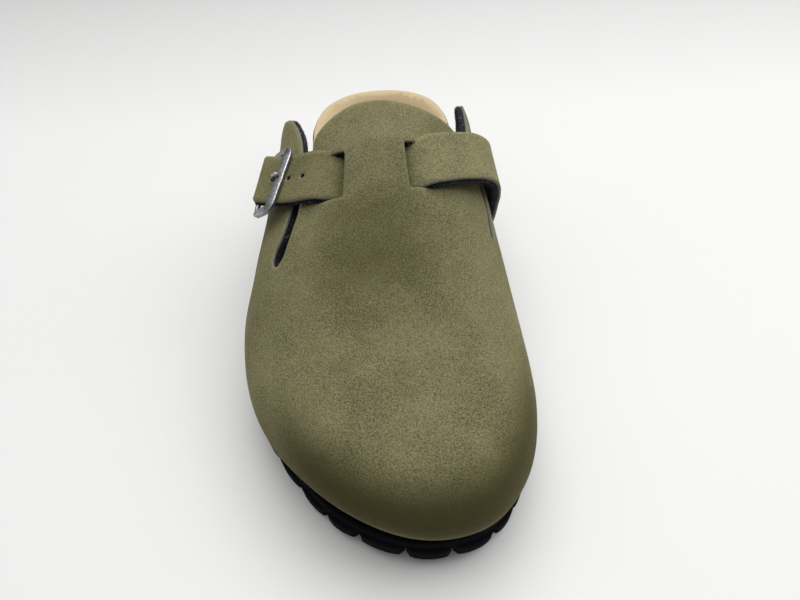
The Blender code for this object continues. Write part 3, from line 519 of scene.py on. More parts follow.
def fill(outline, holes=(), spacing=8.0, grid=None):
    """Triangles over a flat outline with holes. The outline's points come first, in their order."""
    loops = [outline, *holes]
    if grid is None:
        grid = grid_inside(outline, holes, spacing, spacing * 0.55)
    points = np.vstack([*loops, grid])
    edges = []
    first = 0
    for loop in loops:
        edges += [(first + k, first + (k + 1) % len(loop)) for k in range(len(loop))]
        first += len(loop)
    found = delaunay_2d_cdt([tuple(p) for p in points], edges, [], 1, 1e-5)
    flat = np.array([tuple(v) for v in found[0]])
    faces = np.array([tuple(f) for f in found[2]])
    middles = flat[faces].mean(axis=1)
    keep = inside(middles, outline)
    for hole in holes:
        keep &= ~inside(middles, hole)
    faces = faces[keep]
    side = flat[faces]
    turn = np.cross(side[:, 1] - side[:, 0], side[:, 2] - side[:, 0])
    faces[turn < 0] = faces[turn < 0][:, ::-1]
    return flat, faces


def edge_frame(where):
    """Outline points and outward plan directions at distances along the outline."""
    where = np.mod(where, EDGE_LENGTH)
    here = at_length(EDGE_LOOP, where)
    ahead = at_length(EDGE_LOOP, np.mod(where + 1.0, EDGE_LENGTH))
    behind = at_length(EDGE_LOOP, np.mod(where - 1.0, EDGE_LENGTH))
    run = unit(ahead - behind)
    return here, np.stack([run[:, 1], -run[:, 0]], axis=-1)


def feather_height(y):
    return read(LENGTHWISE, LENGTHWISE_COLUMNS, "y", "feather", y)


def ground_height(y):
    return np.maximum(read(GROUND, GROUND_COLUMNS, "y", "ground", y), 0.0)


# Footbed and insole
def side_at_height(edge_where, heights, inset):
    """Points of the last's side at given heights, moved in by inset (one row per height)."""
    shares = np.linspace(0.35, 1.0, 80)
    edge = edge_frame(edge_where)[0]
    behind = edge_frame(edge_where - 0.5)[0]
    ahead = edge_frame(edge_where + 0.5)[0]
    rows = []
    for height in heights:
        row = []
        for k in range(len(edge)):
            wall = rib_point(shares, np.broadcast_to(edge[k], (len(shares), 2)))
            share = np.array([np.interp(-height[k], -wall[:, 2], shares)])
            here = rib_point(share, edge[k : k + 1])[0]
            up = rib_point(share - 0.01, edge[k : k + 1])[0] - here
            run = rib_point(share, ahead[k : k + 1])[0] - rib_point(share, behind[k : k + 1])[0]
            normal = unit(np.cross(run, up))
            if normal[:2] @ (here[:2] - centre(np.clip(here[1], TOE_CENTRE_Y, HEEL_CENTRE_Y))) < 0:
                normal = -normal
            flat = np.hypot(*normal[:2])
            row.append([*(here[:2] - inset[k] * normal[:2] / flat**2), height[k]])
        rows.append(row)
    return np.array(rows)


def bed_inset(y):
    """How far the footbed's side lies inside the last: behind the upper's wall, then bare at the heel."""
    return mix(WALL + 2 * GAP + 0.3, 0.5, ease((y - 79.0) / 16.0))


def width_share(plan, inset):
    """0 on the spine and 1 on the footbed's edge, with the side as a sign."""
    y_spine = np.clip(plan[:, 1], TOE_CENTRE_Y, HEEL_CENTRE_Y)
    foot = np.stack([spine_x(y_spine), y_spine], axis=-1)
    arm = plan - foot
    side = np.where(arm[:, 0] < 0, -1, 1)
    reach = np.abs(edge_x(plan[:, 1], side) - foot[:, 0])
    angle = np.arctan2(arm[:, 1], arm[:, 0])
    toe = radius_towards(centre(TOE_CENTRE_Y), np.mod(angle, 2 * np.pi))
    heel = radius_towards(centre(HEEL_CENTRE_Y), np.mod(angle, 2 * np.pi))
    reach = np.where(plan[:, 1] < TOE_CENTRE_Y, toe, np.where(plan[:, 1] > HEEL_CENTRE_Y, heel, reach))
    return side * np.clip(np.linalg.norm(arm, axis=1) / (reach - inset), 0.0, 1.0)


def bed_height(plan):
    """Height of the insole's top face."""
    y = plan[:, 1]
    share = width_share(plan, bed_inset(y))
    middle = read(FOOTBED, FOOTBED_COLUMNS, "y", "middle", y)
    rim = read(FOOTBED, FOOTBED_COLUMNS, "y", "rim", y)
    rise_from = read(FOOTBED, FOOTBED_COLUMNS, "y", "rise_from", y)
    cup = ease((np.abs(share) - rise_from) / (1.0 - rise_from))
    arch = 5.5 * ease((share - 0.15) / 0.6) * (1 - cup) * ease((y + 30.0) / 40.0) * ease((70.0 - y) / 40.0)
    pad = 2.4 * np.exp(-((plan[:, 0] + 3.0) ** 2 + (y + 14.0) ** 2) / 13.0**2)
    toe_bar = 1.3 * np.exp(-(((y + 80.0) / 7.0) ** 2)) * (1 - cup)
    return mix(middle, rim, cup) + arch + pad + toe_bar


def under_bed(plan, depth):
    """Height of a face lying a depth under the insole's top face."""
    step = 0.5
    slope_x = (bed_height(plan + [step, 0.0]) - bed_height(plan - [step, 0.0])) / (2 * step)
    slope_y = (bed_height(plan + [0.0, step]) - bed_height(plan - [0.0, step])) / (2 * step)
    return bed_height(plan) - depth * np.sqrt(1 + np.minimum(slope_x**2 + slope_y**2, 1.5))


def bed_ring(where):
    """The insole's rim line."""
    edge = edge_frame(where)[0]
    rim = read(FOOTBED, FOOTBED_COLUMNS, "y", "rim", edge[:, 1])
    ring = side_at_height(where, [rim], bed_inset(edge[:, 1]) + 1.1)[0]
    ring[:, 2] = bed_height(ring[:, :2])
    return ring


def lowered(ring, depth):
    """The ring moved down to a face under the insole's top."""
    return np.column_stack([ring[:, :2], under_bed(ring[:, :2], depth)])


# Creases and swellings of the upper: across, y, turn in degrees, half length, half width and height
CREASES = (
    (48.2, -19.6, 85.0, 4.2, 2.2, -0.9),
    (46.0, -12.0, 92.0, 9.0, 1.6, -0.35),
    (-38.5, -27.0, 100.0, 3.4, 2.6, -0.4),
    (-2.0, -30.0, 5.0, 30.0, 9.0, -0.5),
    (12.0, -52.0, -12.0, 26.0, 8.0, 0.35),
    (-30.0, -48.0, 24.0, 22.0, 8.0, -0.35),
    (33.0, -60.0, -30.0, 20.0, 7.0, -0.3),
)
TOE_CROWN = 1.7  # rise of the toe cap above its steep front

# How far the upper is pulled in over the sole, round the toe from the outer to the inner side
TUCK_COLUMNS = ("angle", "tuck")
TUCK = (
    (180.0, 0.0),
    (206.0, 0.0),
    (216.0, 0.5),
    (226.0, 1.7),
    (239.0, 2.8),
    (262.0, 2.3),
    (284.0, 1.3),
    (305.0, 0.1),
    (322.0, -0.7),
    (342.0, -0.5),
    (360.0, 0.0),
)


def relief(a, b):
    """Soft dents and rises of the worn-in microfibre, each listed with its place, and the tuck at the toe's
    foot.
    """
    y = b + TOE_CENTRE_Y
    angle = np.degrees(np.mod(np.arctan2(np.minimum(b, -1e-6), a), 2 * np.pi))
    share = np.hypot(a, np.minimum(b, 0.0)) / PATTERN_HALF
    total = -read(TUCK, TUCK_COLUMNS, "angle", "tuck", angle) * ease((share - 0.70) / 0.24)
    front = ease((angle - 200.0) / 40.0) * ease((345.0 - angle) / 40.0) * (b < 0)
    total += front * TOE_CROWN * np.exp(-(((share - 0.50) / 0.21) ** 2))
    for across, middle, turn, half_length, half_width, height in CREASES:
        angle = math.radians(turn)
        along = (a - across) * math.cos(angle) + (y - middle) * math.sin(angle)
        over = (y - middle) * math.cos(angle) - (a - across) * math.sin(angle)
        total = total + height * np.exp(-((along / half_length) ** 2) - (over / half_width) ** 2)
    return total


def rounded_corners(corners, radius, spacing):
    """A closed polygon with its corners rounded."""
    path = []
    count = len(corners)
    for k in range(count):
        before = unit(corners[k - 1] - corners[k])
        after = unit(corners[(k + 1) % count] - corners[k])
        for s in np.linspace(0.0, 1.0, 5):
            start, end = corners[k] + radius * before, corners[k] + radius * after
            path.append(mix(mix(start, corners[k], s), mix(corners[k], end, s), s))
    path = np.array(path)
    return evenly(np.vstack([path, path[:1]]), spacing)[:-1]


def slot_loop(slot, spacing=1.5):
    """Outline of a strap slot on the pattern, clockwise."""
    front = slot["front"] - TOE_CENTRE_Y
    back = slot["back"] - TOE_CENTRE_Y
    far_front, far_back = front + slot["slant"], back + slot["slant"]
    corners = [(slot["near"], front), (slot["far"], far_front), (slot["far"], far_back), (slot["near"], back)]
    return clockwise(rounded_corners(np.array(corners), 0.8, spacing))


def signed_area(loop):
    x, y = loop[:, 0], loop[:, 1]
    return 0.5 * float(np.sum(x * np.roll(y, -1) - y * np.roll(x, -1)))


def clockwise(loop):
    return loop if signed_area(loop) < 0 else loop[::-1]


def collar_side(rows, side, spacing):
    """One side of the collar, from the sole to the tongue."""
    path = np.array([(side * across, y - TOE_CENTRE_Y) for across, y in rows])
    return evenly(spline(path, 16, closed=False), spacing)


def upper_outline(spacing=1.6):
    """Outline of the upper's pattern, counter-clockwise."""
    outer = collar_side(COLLAR_OUTER, -1, spacing)
    inner = collar_side(COLLAR_INNER, 1, spacing)
    angle = np.linspace(math.pi, 2 * math.pi, round(math.pi * PATTERN_HALF / spacing))
    toe = PATTERN_HALF * np.stack([np.cos(angle), np.sin(angle)], axis=-1)
    outer_foot = evenly(np.array([outer[0], toe[0]]), spacing)[1:-1]
    inner_foot = evenly(np.array([toe[-1], inner[0]]), spacing)[1:-1]
    return np.vstack([outer[::-1], outer_foot, toe, inner_foot, inner[:-1]])


def upper_lay(flat, height):
    """Places at a height over the upper's outer face, negative into its wall."""
    a, b = flat[:, 0], flat[:, 1]
    out = last_frame(a, b)[2]
    lift = bridge(a, b) + relief(a, b) + np.reshape(height, -1)
    places = on_last(a, b) + lift[:, None] * out
    places[:, 2] += GAP
    return places


# Meshes
def placed(points):
    """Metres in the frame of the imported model."""
    return (np.asarray(points, float) + (-CENTRE_X, -CENTRE_Y, 0.0)) * MM


def linked(name, data):
    """An object of some data, in the scene."""
    thing = bpy.data.objects.new(name, data)
    bpy.context.scene.collection.objects.link(thing)
    return thing


def plain_mesh(name, points, faces):
    """A smooth mesh of points in metres."""
    mesh = bpy.data.meshes.new(name)
    mesh.from_pydata(points.tolist(), [], [tuple(int(i) for i in face) for face in faces])
    mesh.shade_smooth()
    return mesh


def make_piece(name, points, faces, materials, picks=None, sharp=None, **values):
    """A mesh object at the origin, with a value per vertex for each named attribute."""
    old = bpy.data.objects.get(name)
    if old is not None:
        bpy.data.objects.remove(old)
    mesh = plain_mesh(name, placed(points), faces)
    for material in materials:
        mesh.materials.append(material)
    if picks is not None:
        mesh.polygons.foreach_set("material_index", [int(p) for p in picks])
    for attribute, numbers in values.items():
        layer = mesh.attributes.new(attribute, "FLOAT", "POINT")
        layer.data.foreach_set("value", np.asarray(numbers, np.float32))
    if sharp is not None:
        mesh.set_sharp_from_angle(angle=math.radians(sharp))
    return linked(name, mesh)


def settle(piece, nodes):
    """Rides the finished piece on the shoe and hides the solids that it stands in for."""
    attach(piece, "root")
    if nodes:
        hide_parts(*nodes)


def rim_directions(loop):
    """Directions out of the material, for a counter-clockwise outline or a clockwise hole."""
    run = unit(np.roll(loop, -1, axis=0) - np.roll(loop, 1, axis=0))
    return np.stack([run[:, 1], -run[:, 0]], axis=-1)


def painted_shade_on_upper(flat):
    """Painted shade on the upper's nap: how far it is darkened at the toe's steep foot, and a darker patch on
    the vamp.
    """
    # Painted shade: the toe's steep foot is drawn darker, standing in for the light it does not get.
    angle = np.degrees(np.mod(np.arctan2(np.minimum(flat[:, 1], -1e-6), flat[:, 0]), 2 * np.pi))
    share = np.linalg.norm(flat, axis=1) / PATTERN_HALF
    front = ease((angle - 196.0) / 40.0) * ease((350.0 - angle) / 34.0) * (flat[:, 1] < 0)
    foot = 0.95 * front * ease((share - 0.42) / 0.26) * (1.0 - 0.78 * ease((share - 0.82) / 0.14))
    vamp = 0.56 * np.exp(-(((flat[:, 0] + 6.0) / 20.0) ** 2) - ((flat[:, 1] - 22.0) / 24.0) ** 2)
    return np.maximum(foot, vamp)


def band(upper, lower):
    """Faces between two closed rings of point numbers."""
    return list(zip(upper, lower, np.roll(lower, -1), np.roll(upper, -1)))


def tube_faces(count, size, closed=False):
    """Faces between rings of points that are numbered one ring after the other."""
    rings = np.arange(count * size).reshape(count, size)
    following = np.roll(rings, -1, axis=0) if closed else rings[1:]
    return [face for upper, lower in zip(rings, following) for face in band(upper, lower)]


def layered(name, outline, holes, spacing, lay, levels, proud, materials, grid=None, painted_shade=None):
    """A sheet between two levels over its lay. Its rim is rounded and proud, and wears the last material."""
    high, low = levels
    loops = [outline, *holes]
    flat, faces = fill(outline, holes=holes, spacing=spacing, grid=grid)
    count = len(flat)
    points = [lay(flat, np.full(count, high)), lay(flat, np.full(count, low))]
    all_faces = [tuple(f) for f in faces] + [tuple(f[::-1] + count) for f in faces]
    picks = [0] * len(all_faces)
    edge = np.exp(-nearest(flat, np.vstack(loops)) / EDGE_FADE)
    edges = [edge, edge]
    total, first = 2 * count, 0
    for loop in loops:
        size = len(loop)
        out = rim_directions(loop)
        rows = [np.arange(first, first + size)]
        for s in RIM_STEPS:
            grow = proud * math.sin(math.pi * s) ** 0.5
            points.append(lay(loop + grow * out, np.full(size, mix(high, low, s))))
            edges.append(np.ones(size))
            rows.append(np.arange(total, total + size))
            total += size
        rows.append(rows[0] + count)
        for upper, lower in zip(rows, rows[1:]):
            all_faces += band(upper, lower)
        picks += [len(materials) - 1] * (size * (len(rows) - 1))
        first += size
    values = {"edge": np.concatenate(edges)}
    # Painted shade on the outer face, as a share per vertex, where a function for it is given.
    if painted_shade is not None:
        values["painted_shade"] = np.zeros(total)
        values["painted_shade"][:count] = painted_shade(flat)
    return make_piece(name, np.vstack(points), all_faces, materials, picks, **values)


def swept(path, sections, normals):
    """A closed ring with a section at each point of its loop, as points and faces."""
    run = unit(np.roll(path, -1, axis=0) - np.roll(path, 1, axis=0))
    side = unit(np.cross(run, normals))
    points = [path[k] + x * side[k] + y * normals[k] for k in range(len(path)) for x, y in sections[k]]
    return np.array(points), tube_faces(len(path), len(sections[0]), closed=True)


def rounded_section(width, thickness, radius):
    """Rounded rectangle, counter-clockwise, always of the same number of points."""
    points = []
    for k, (sx, sy) in enumerate(((1, -1), (1, 1), (-1, 1), (-1, -1))):
        for angle in np.radians(np.linspace(-90, 0, 4) + 90 * k):
            x = sx * (width / 2 - radius) + radius * math.cos(angle)
            y = sy * (thickness / 2 - radius) + radius * math.sin(angle)
            points.append((x, y))
    return np.array(points)


def wire(path, radii, sides=14):
    """A round wire with a radius per point and rounded ends, as points and faces."""
    start, end = unit(path[0] - path[1]), unit(path[-1] - path[-2])
    swell = np.radians([75, 50, 25])
    before = [path[0] + radii[0] * math.sin(t) * start for t in swell]
    after = [path[-1] + radii[-1] * math.sin(t) * end for t in swell[::-1]]
    path = np.vstack([before, path, after])
    radii = np.concatenate([radii[0] * np.cos(swell), radii, radii[-1] * np.cos(swell[::-1])])
    run = unit(np.gradient(path, axis=0))
    normal = unit(np.cross(run[0], (0.31, 0.52, 0.79)))
    points = []
    angle = np.linspace(0.0, 2 * math.pi, sides, endpoint=False)
    for k, place in enumerate(path):
        normal = unit(normal - (normal @ run[k]) * run[k])
        other = np.cross(run[k], normal)
        points += [place + radii[k] * (math.cos(t) * normal + math.sin(t) * other) for t in angle]
    faces = [face[::-1] for face in tube_faces(len(path), sides)]
    faces.append(tuple(range(sides))[::-1])
    faces.append(tuple((len(path) - 1) * sides + j for j in range(sides)))
    return np.array(points), faces


# Geometry Nodes
def add_node(tree, kind, inputs=(), **settings):
    """A node with its settings, and its inputs set or linked."""
    node = tree.nodes.new(kind)
    for key, value in settings.items():
        setattr(node, key, value)
    for key, value in dict(inputs).items():
        if isinstance(value, bpy.types.NodeSocket):
            tree.links.new(value, node.inputs[key])
        else:
            node.inputs[key].default_value = value
    return node


def geometry_tree(name, sockets):
    """An empty node tree with a geometry going in and out, and named inputs."""
    tree = bpy.data.node_groups.new(name, "GeometryNodeTree")
    tree.interface.new_socket("Geometry", in_out="INPUT", socket_type="NodeSocketGeometry")
    for label, kind in sockets:
        tree.interface.new_socket(label, in_out="INPUT", socket_type=kind)
    tree.interface.new_socket("Geometry", in_out="OUTPUT", socket_type="NodeSocketGeometry")
    return tree, tree.nodes.new("NodeGroupInput"), tree.nodes.new("NodeGroupOutput")


def copies_on(tree, start, end, points, piece, rotation, size):
    """Puts a piece on points, makes the copies real and gives them the tree's material."""
    shape = add_node(tree, "GeometryNodeObjectInfo", {"Object": piece}).outputs["Geometry"]
    inputs = {"Points": points, "Instance": shape, "Rotation": rotation, "Scale": size}
    copies = add_node(tree, "GeometryNodeInstanceOnPoints", inputs)
    real = add_node(tree, "GeometryNodeRealizeInstances", {"Geometry": copies.outputs["Instances"]})
    inputs = {"Geometry": real.outputs["Geometry"], "Material": start.outputs["Material"]}
    dressed = add_node(tree, "GeometryNodeSetMaterial", inputs)
    tree.links.new(dressed.outputs["Geometry"], end.inputs["Geometry"])
    return tree


def repeat_tree():
    """Puts a copy of a piece on every point, facing and standing as the point's attributes say."""
    sockets = (("Piece", "NodeSocketObject"), ("Size", "NodeSocketFloat"), ("Material", "NodeSocketMaterial"))
    tree, start, end = geometry_tree("repeat on points", sockets)
    turned = add_node(tree, "FunctionNodeAxesToRotation", primary_axis="Z", secondary_axis="X")
    for socket, attribute in (("Primary Axis", "standing"), ("Secondary Axis", "facing")):
        way = add_node(tree, "GeometryNodeInputNamedAttribute", {"Name": attribute}, data_type="FLOAT_VECTOR")
        tree.links.new(way.outputs["Attribute"], turned.inputs[socket])
    points, rotation = start.outputs["Geometry"], turned.outputs["Rotation"]
    return copies_on(tree, start, end, points, start.outputs["Piece"], rotation, start.outputs["Size"])


def fibre_tree():
    """Scatters short fibres over the rims of a felt."""
    sockets = (
        ("Fibre", "NodeSocketObject"),
        ("Density", "NodeSocketFloat"),
        ("Seed", "NodeSocketInt"),
        ("Material", "NodeSocketMaterial"),
    )
    tree, start, end = geometry_tree("fibres on felt", sockets)
    edge = add_node(tree, "GeometryNodeInputNamedAttribute", {"Name": "edge"}, data_type="FLOAT")
    inputs = {"A": edge.outputs["Attribute"], "B": RIM_FROM}
    rim = add_node(tree, "FunctionNodeCompare", inputs, operation="GREATER_THAN")
    inputs = {label: start.outputs[label] for label in ("Density", "Seed")}
    inputs |= {"Mesh": start.outputs["Geometry"], "Selection": rim.outputs["Result"]}
    spread = add_node(tree, "GeometryNodeDistributePointsOnFaces", inputs)
    tilt = add_node(tree, "FunctionNodeRandomValue", data_type="FLOAT_VECTOR")
    tilt.inputs["Min"].default_value = (-FIBRE_TILT, -FIBRE_TILT, 0.0)
    tilt.inputs["Max"].default_value = (FIBRE_TILT, FIBRE_TILT, 6.28)
    tree.links.new(start.outputs["Seed"], tilt.inputs["Seed"])
    inputs = {"Rotation": spread.outputs["Rotation"], "Rotate By": tilt.outputs["Value"]}
    turned = add_node(tree, "FunctionNodeRotateRotation", inputs, rotation_space="LOCAL")
    sizes = add_node(tree, "FunctionNodeRandomValue", data_type="FLOAT")
    bounds = [s for s in sizes.inputs if s.name in ("Min", "Max") and s.type == "VALUE"]
    for socket, value in zip(bounds, FIBRE_SIZES):
        socket.default_value = value
    size = next(s for s in sizes.outputs if s.type == "VALUE")
    rotation = turned.outputs["Rotation"]
    return copies_on(tree, start, end, spread.outputs["Points"], start.outputs["Fibre"], rotation, size)


def grown(name, guide, tree, inputs):
    """The plain mesh that a node tree makes of a guide object."""
    modifier = guide.modifiers.new("grow", "NODES")
    modifier.node_group = tree
    for item in tree.interface.items_tree:
        if item.item_type == "SOCKET" and item.in_out == "INPUT" and item.name in inputs:
            modifier[item.identifier] = inputs[item.name]
    bpy.context.view_layer.update()
    graph = bpy.context.evaluated_depsgraph_get()
    mesh = bpy.data.meshes.new_from_object(guide.evaluated_get(graph))
    guide.modifiers.remove(modifier)
    mesh.name = name
    mesh.shade_smooth()
    return linked(name, mesh)


def guide_points(name, places, facing, standing):
    """Points for the repeat tree, in the last's millimetres."""
    mesh = plain_mesh(name, placed(places), [])
    for label, vectors in (("facing", facing), ("standing", standing)):
        layer = mesh.attributes.new(label, "FLOAT_VECTOR", "POINT")
        layer.data.foreach_set("vector", np.asarray(vectors, np.float32).ravel())
    return linked(name, mesh)


def pattern_object(name, points, faces):
    """A small piece round its own origin, in metres, for repeating."""
    return linked(name, plain_mesh(name, np.asarray(points, float) * MM, faces))


def repeated(name, piece, guide, material):
    """Copies of a piece on a guide's points, as one mesh. The piece and the guide go."""
    copies = grown(name, guide, repeat_tree(), {"Piece": piece, "Size": 1.0, "Material": material})
    for helper in (piece, guide):
        bpy.data.objects.remove(helper)
    return copies


# Strap and buckle
STATION = STRAP_STATION - TOE_CENTRE_Y


def over_last(across, height, further=0.0):
    """Places at a height over the last on the strap's line, moved further to the heel, and directions."""
    across = np.asarray(across, float)
    b = STATION + read(STRAP, STRAP_COLUMNS, "across", "shift", across) + further
    run, lengthwise, out = last_frame(across, b, reach=2.0)
    place = on_last(across, b) + np.asarray(height)[..., None] * out
    return place, run, lengthwise, out


def strap_line():
    """The middle line of the strap and its sideways direction, at close places across the pattern."""
    across = np.arange(STRAP[0][0], STRAP[-1][0], 0.5)
    height = read(STRAP, STRAP_COLUMNS, "across", "height", across)
    line, _, lengthwise, _ = over_last(across, height)
    run = unit(np.gradient(line, axis=0))
    sideways = unit(lengthwise - (lengthwise * run).sum(axis=1, keepdims=True) * run)
    return across, line, sideways


def strap_sheet(flat, height=0.0):
    """Places of the strap's pattern (length from its free end, sideways) at a height over its line."""
    _, line, sideways = strap_line()
    total = lengths(line)
    out = unit(np.cross(np.gradient(line, axis=0), sideways))
    middle = at_length(line, flat[:, 0])
    turn = np.stack([np.interp(flat[:, 0], total, sideways[:, k]) for k in range(3)], axis=-1)
    over = np.stack([np.interp(flat[:, 0], total, out[:, k]) for k in range(3)], axis=-1)
    return middle + flat[:, 1:2] * unit(turn) + np.reshape(height, (-1, 1)) * unit(over)


def strap_length_at(across):
    """Length from the free end to a place across the pattern."""
    places, line, _ = strap_line()
    return float(np.interp(across, places, lengths(line)))


def ellipse(x, y, half_x, half_y, count):
    angle = np.linspace(0, 2 * math.pi, count, endpoint=False)
    return np.stack([x + half_x * np.cos(angle), y + half_y * np.sin(angle)], axis=-1)


def strap_holes():
    """The working hole, stretched by the prong, and two spare ones."""
    working = strap_length_at(BAR_ACROSS) - HOLE_BEFORE_BAR
    stretched = ellipse(working, 0.0, 2.5, 1.4, 28)
    spare = [ellipse(working + k * HOLE_SPACING, 0.0, HOLE_RADIUS, HOLE_RADIUS, 20) for k in (1, 2)]
    return [stretched, *spare]


def buckle_frame_points():
    """Middles of the bar over the strap and of the pivot under it, and the buckle's directions."""
    across, line, lengthwise = strap_line()
    k = int(np.argmin(np.abs(across - BAR_ACROSS)))
    run = unit(line[k + 1] - line[k - 1])
    strap_out = unit(np.cross(run, lengthwise[k]))
    lift = STRAP_THICKNESS / 2 + GAP + BUCKLE_BAR_THICKNESS / 2
    bar = line[k] + lift * strap_out - BUCKLE_FORWARD * lengthwise[k]
    pivot = over_last(np.array([PIVOT_ACROSS]), np.array([PIVOT_HEIGHT]), PIVOT_BACK - BUCKLE_FORWARD)[0][0]
    down = unit(pivot - bar)
    turn = math.radians(BUCKLE_TURN)
    sideways = math.cos(turn) * lengthwise[k] + math.sin(turn) * run
    return bar, pivot, down, sideways, unit(np.cross(down, -sideways)), strap_out


def tab_line(pivot, down, sideways, out, beside):
    """A line of the tab beside the pivot's middle: up the quarter, round the pivot and back."""
    wrap = PIVOT_RADIUS + GAP + TAB_THICKNESS / 2
    low = GAP + TAB_THICKNESS / 2 + 0.2
    high = low + TAB_THICKNESS + GAP
    foot = np.linspace(TAB_FOOT_ACROSS, PIVOT_ACROSS - 3.0, 4)
    back = TAB_DRIFT * (PIVOT_ACROSS - foot) + PIVOT_BACK - BUCKLE_FORWARD + beside
    under = over_last(foot, [low, low, low, low + 0.8], back)[0]
    over = over_last(foot[::-1], [PIVOT_HEIGHT + 1.0, high + 0.9, high, high], back[::-1])[0]
    angles = np.radians([-80, -40, 0, 40, 80])
    turn = [pivot + beside * sideways + wrap * (math.cos(a) * -down + math.sin(a) * out) for a in angles]
    return evenly(spline(np.vstack([under, turn, over]), 5, closed=False), 0.5)


# Materials
def node_group(name, inputs, outputs):
    tree = bpy.data.node_groups.new(name, "ShaderNodeTree")
    for label, kind in inputs:
        tree.interface.new_socket(label, in_out="INPUT", socket_type=kind)
    for label in outputs:
        tree.interface.new_socket(label, in_out="OUTPUT", socket_type="NodeSocketFloat")
    return tree, tree.nodes.new("NodeGroupInput"), tree.nodes.new("NodeGroupOutput")


def noise(tree, vector, scale, detail=3.0, roughness=0.6):
    inputs = {"Vector": vector, "Scale": scale, "Detail": detail, "Roughness": roughness}
    return add_node(tree, "ShaderNodeTexNoise", inputs).outputs[0]


def ranged(tree, value, low, high, to_low=0.0, to_high=1.0):
    inputs = {"Value": value, "From Min": low, "From Max": high, "To Min": to_low, "To Max": to_high}
    return add_node(tree, "ShaderNodeMapRange", inputs).outputs["Result"]


def maths(tree, operation, a, b):
    """The result of a sum of two values or sockets."""
    node = tree.nodes.new("ShaderNodeMath")
    node.operation = operation
    for socket, value in zip(node.inputs, (a, b)):
        if isinstance(value, bpy.types.NodeSocket):
            tree.links.new(value, socket)
        else:
            socket.default_value = value
    return node.outputs[0]


def blended(tree, factor, a, b):
    """A colour between two, by a factor."""
    node = tree.nodes.new("ShaderNodeMix")
    node.data_type = "RGBA"
    for index, value in ((0, factor), (6, a), (7, b)):
        if isinstance(value, bpy.types.NodeSocket):
            tree.links.new(value, node.inputs[index])
        else:
            node.inputs[index].default_value = value
    return node.outputs[2]


def nap_group():
    """Fine speckle over soft blotches: a tone and a height."""
    name = "nap"
    if name in bpy.data.node_groups:
        return bpy.data.node_groups[name]
    sockets = (("Vector", "NodeSocketVector"), ("Grain", "NodeSocketFloat"), ("Blotch", "NodeSocketFloat"))
    tree, start, end = node_group(name, sockets, ("Tone", "Height"))
    vector = start.outputs["Vector"]
    speckle = noise(tree, vector, start.outputs["Grain"], 3.0, 0.72)
    blotch = noise(tree, vector, start.outputs["Blotch"], 4.0, 0.55)
    fine = maths(tree, "MULTIPLY", ranged(tree, speckle, 0.36, 0.64), 0.76)
    broad = maths(tree, "MULTIPLY", ranged(tree, blotch, 0.32, 0.68), 0.24)
    tree.links.new(maths(tree, "ADD", fine, broad), end.inputs["Tone"])
    tree.links.new(speckle, end.inputs["Height"])
    return tree


def wear_group():
    """Wear along edges: the edge's nearness, broken up by noise."""
    name = "edge wear"
    if name in bpy.data.node_groups:
        return bpy.data.node_groups[name]
    sockets = (("Edge", "NodeSocketFloat"), ("Vector", "NodeSocketVector"), ("Scale", "NodeSocketFloat"))
    tree, start, end = node_group(name, sockets, ("Wear",))
    patches = noise(tree, start.outputs["Vector"], start.outputs["Scale"], 4.0)
    broken = ranged(tree, patches, 0.35, 0.7, 0.35, 1.0)
    worn = maths(tree, "MULTIPLY", broken, ranged(tree, start.outputs["Edge"], 0.45, 1.0))
    tree.links.new(worn, end.inputs["Wear"])
    return tree


def new_material(name, roughness, **settings):
    """A material with its shader, and the object's own coordinates."""
    material = bpy.data.materials.get(name)
    if material is not None:
        bpy.data.materials.remove(material)
    material = bpy.data.materials.new(name)
    material.use_nodes = True
    tree = material.node_tree
    shader = tree.nodes["Principled BSDF"]
    shader.inputs["Roughness"].default_value = roughness
    for label, value in settings.items():
        shader.inputs[label.replace("_", " ")].default_value = value
    place = tree.nodes.new("ShaderNodeTexCoord").outputs["Object"]
    return material, tree, shader, place


def colour_of(material, tree, shader, colour):
    tree.links.new(colour, shader.inputs["Base Color"])
    return material


def bumped(tree, shader, height, strength, distance):
    bump = add_node(tree, "ShaderNodeBump", {"Height": height, "Strength": strength, "Distance": distance})
    tree.links.new(bump.outputs["Normal"], shader.inputs["Normal"])


def rgb(colour, share=1.0):
    return (*[min(1.0, channel * share) for channel in colour], 1.0)


def nap_of(tree, place, grain, blotch):
    """Tone and height of a nap of a grain and a blotch size."""
    inputs = {"Vector": place, "Grain": grain, "Blotch": blotch}
    outputs = add_node(tree, "ShaderNodeGroup", inputs, node_tree=nap_group()).outputs
    return outputs["Tone"], outputs["Height"]


def worn_edges(tree, place, scale, share):
    """Where the edges are worn, up to a share."""
    edge = add_node(tree, "ShaderNodeAttribute", attribute_name="edge").outputs["Fac"]
    inputs = {"Edge": edge, "Vector": place, "Scale": scale}
    wear = add_node(tree, "ShaderNodeGroup", inputs, node_tree=wear_group()).outputs["Wear"]
    return maths(tree, "MULTIPLY", wear, share)


def napped(name, colour, grain, blotch, contrast, roughness, sheen, bump):
    """Short nap in two tones of one colour, paler at worn edges and darker where painted shade is laid on."""
    shine = {"Sheen_Weight": sheen, "Sheen_Roughness": 0.45, "Sheen_Tint": rgb(colour, 3.0)}
    material, tree, shader, place = new_material(name, roughness, Specular_IOR_Level=0.15, **shine)
    tone, height = nap_of(tree, place, grain, blotch)
    nap = blended(tree, tone, rgb(colour, 1.0 - contrast), rgb(colour, 1.0 + contrast))
    worn = blended(tree, worn_edges(tree, place, 600.0, 0.35), nap, rgb(colour, 1.9))
    # Painted shade: this vertex share mixes the nap towards the dark colour below.
    painted_shade = add_node(tree, "ShaderNodeAttribute", attribute_name="painted_shade").outputs["Fac"]
    dark = (*[channel * share for channel, share in zip(colour, PAINTED_SHADE_SHARES)], 1.0)
    bumped(tree, shader, height, bump, 0.0004)
    return colour_of(material, tree, shader, blended(tree, painted_shade, worn, dark))


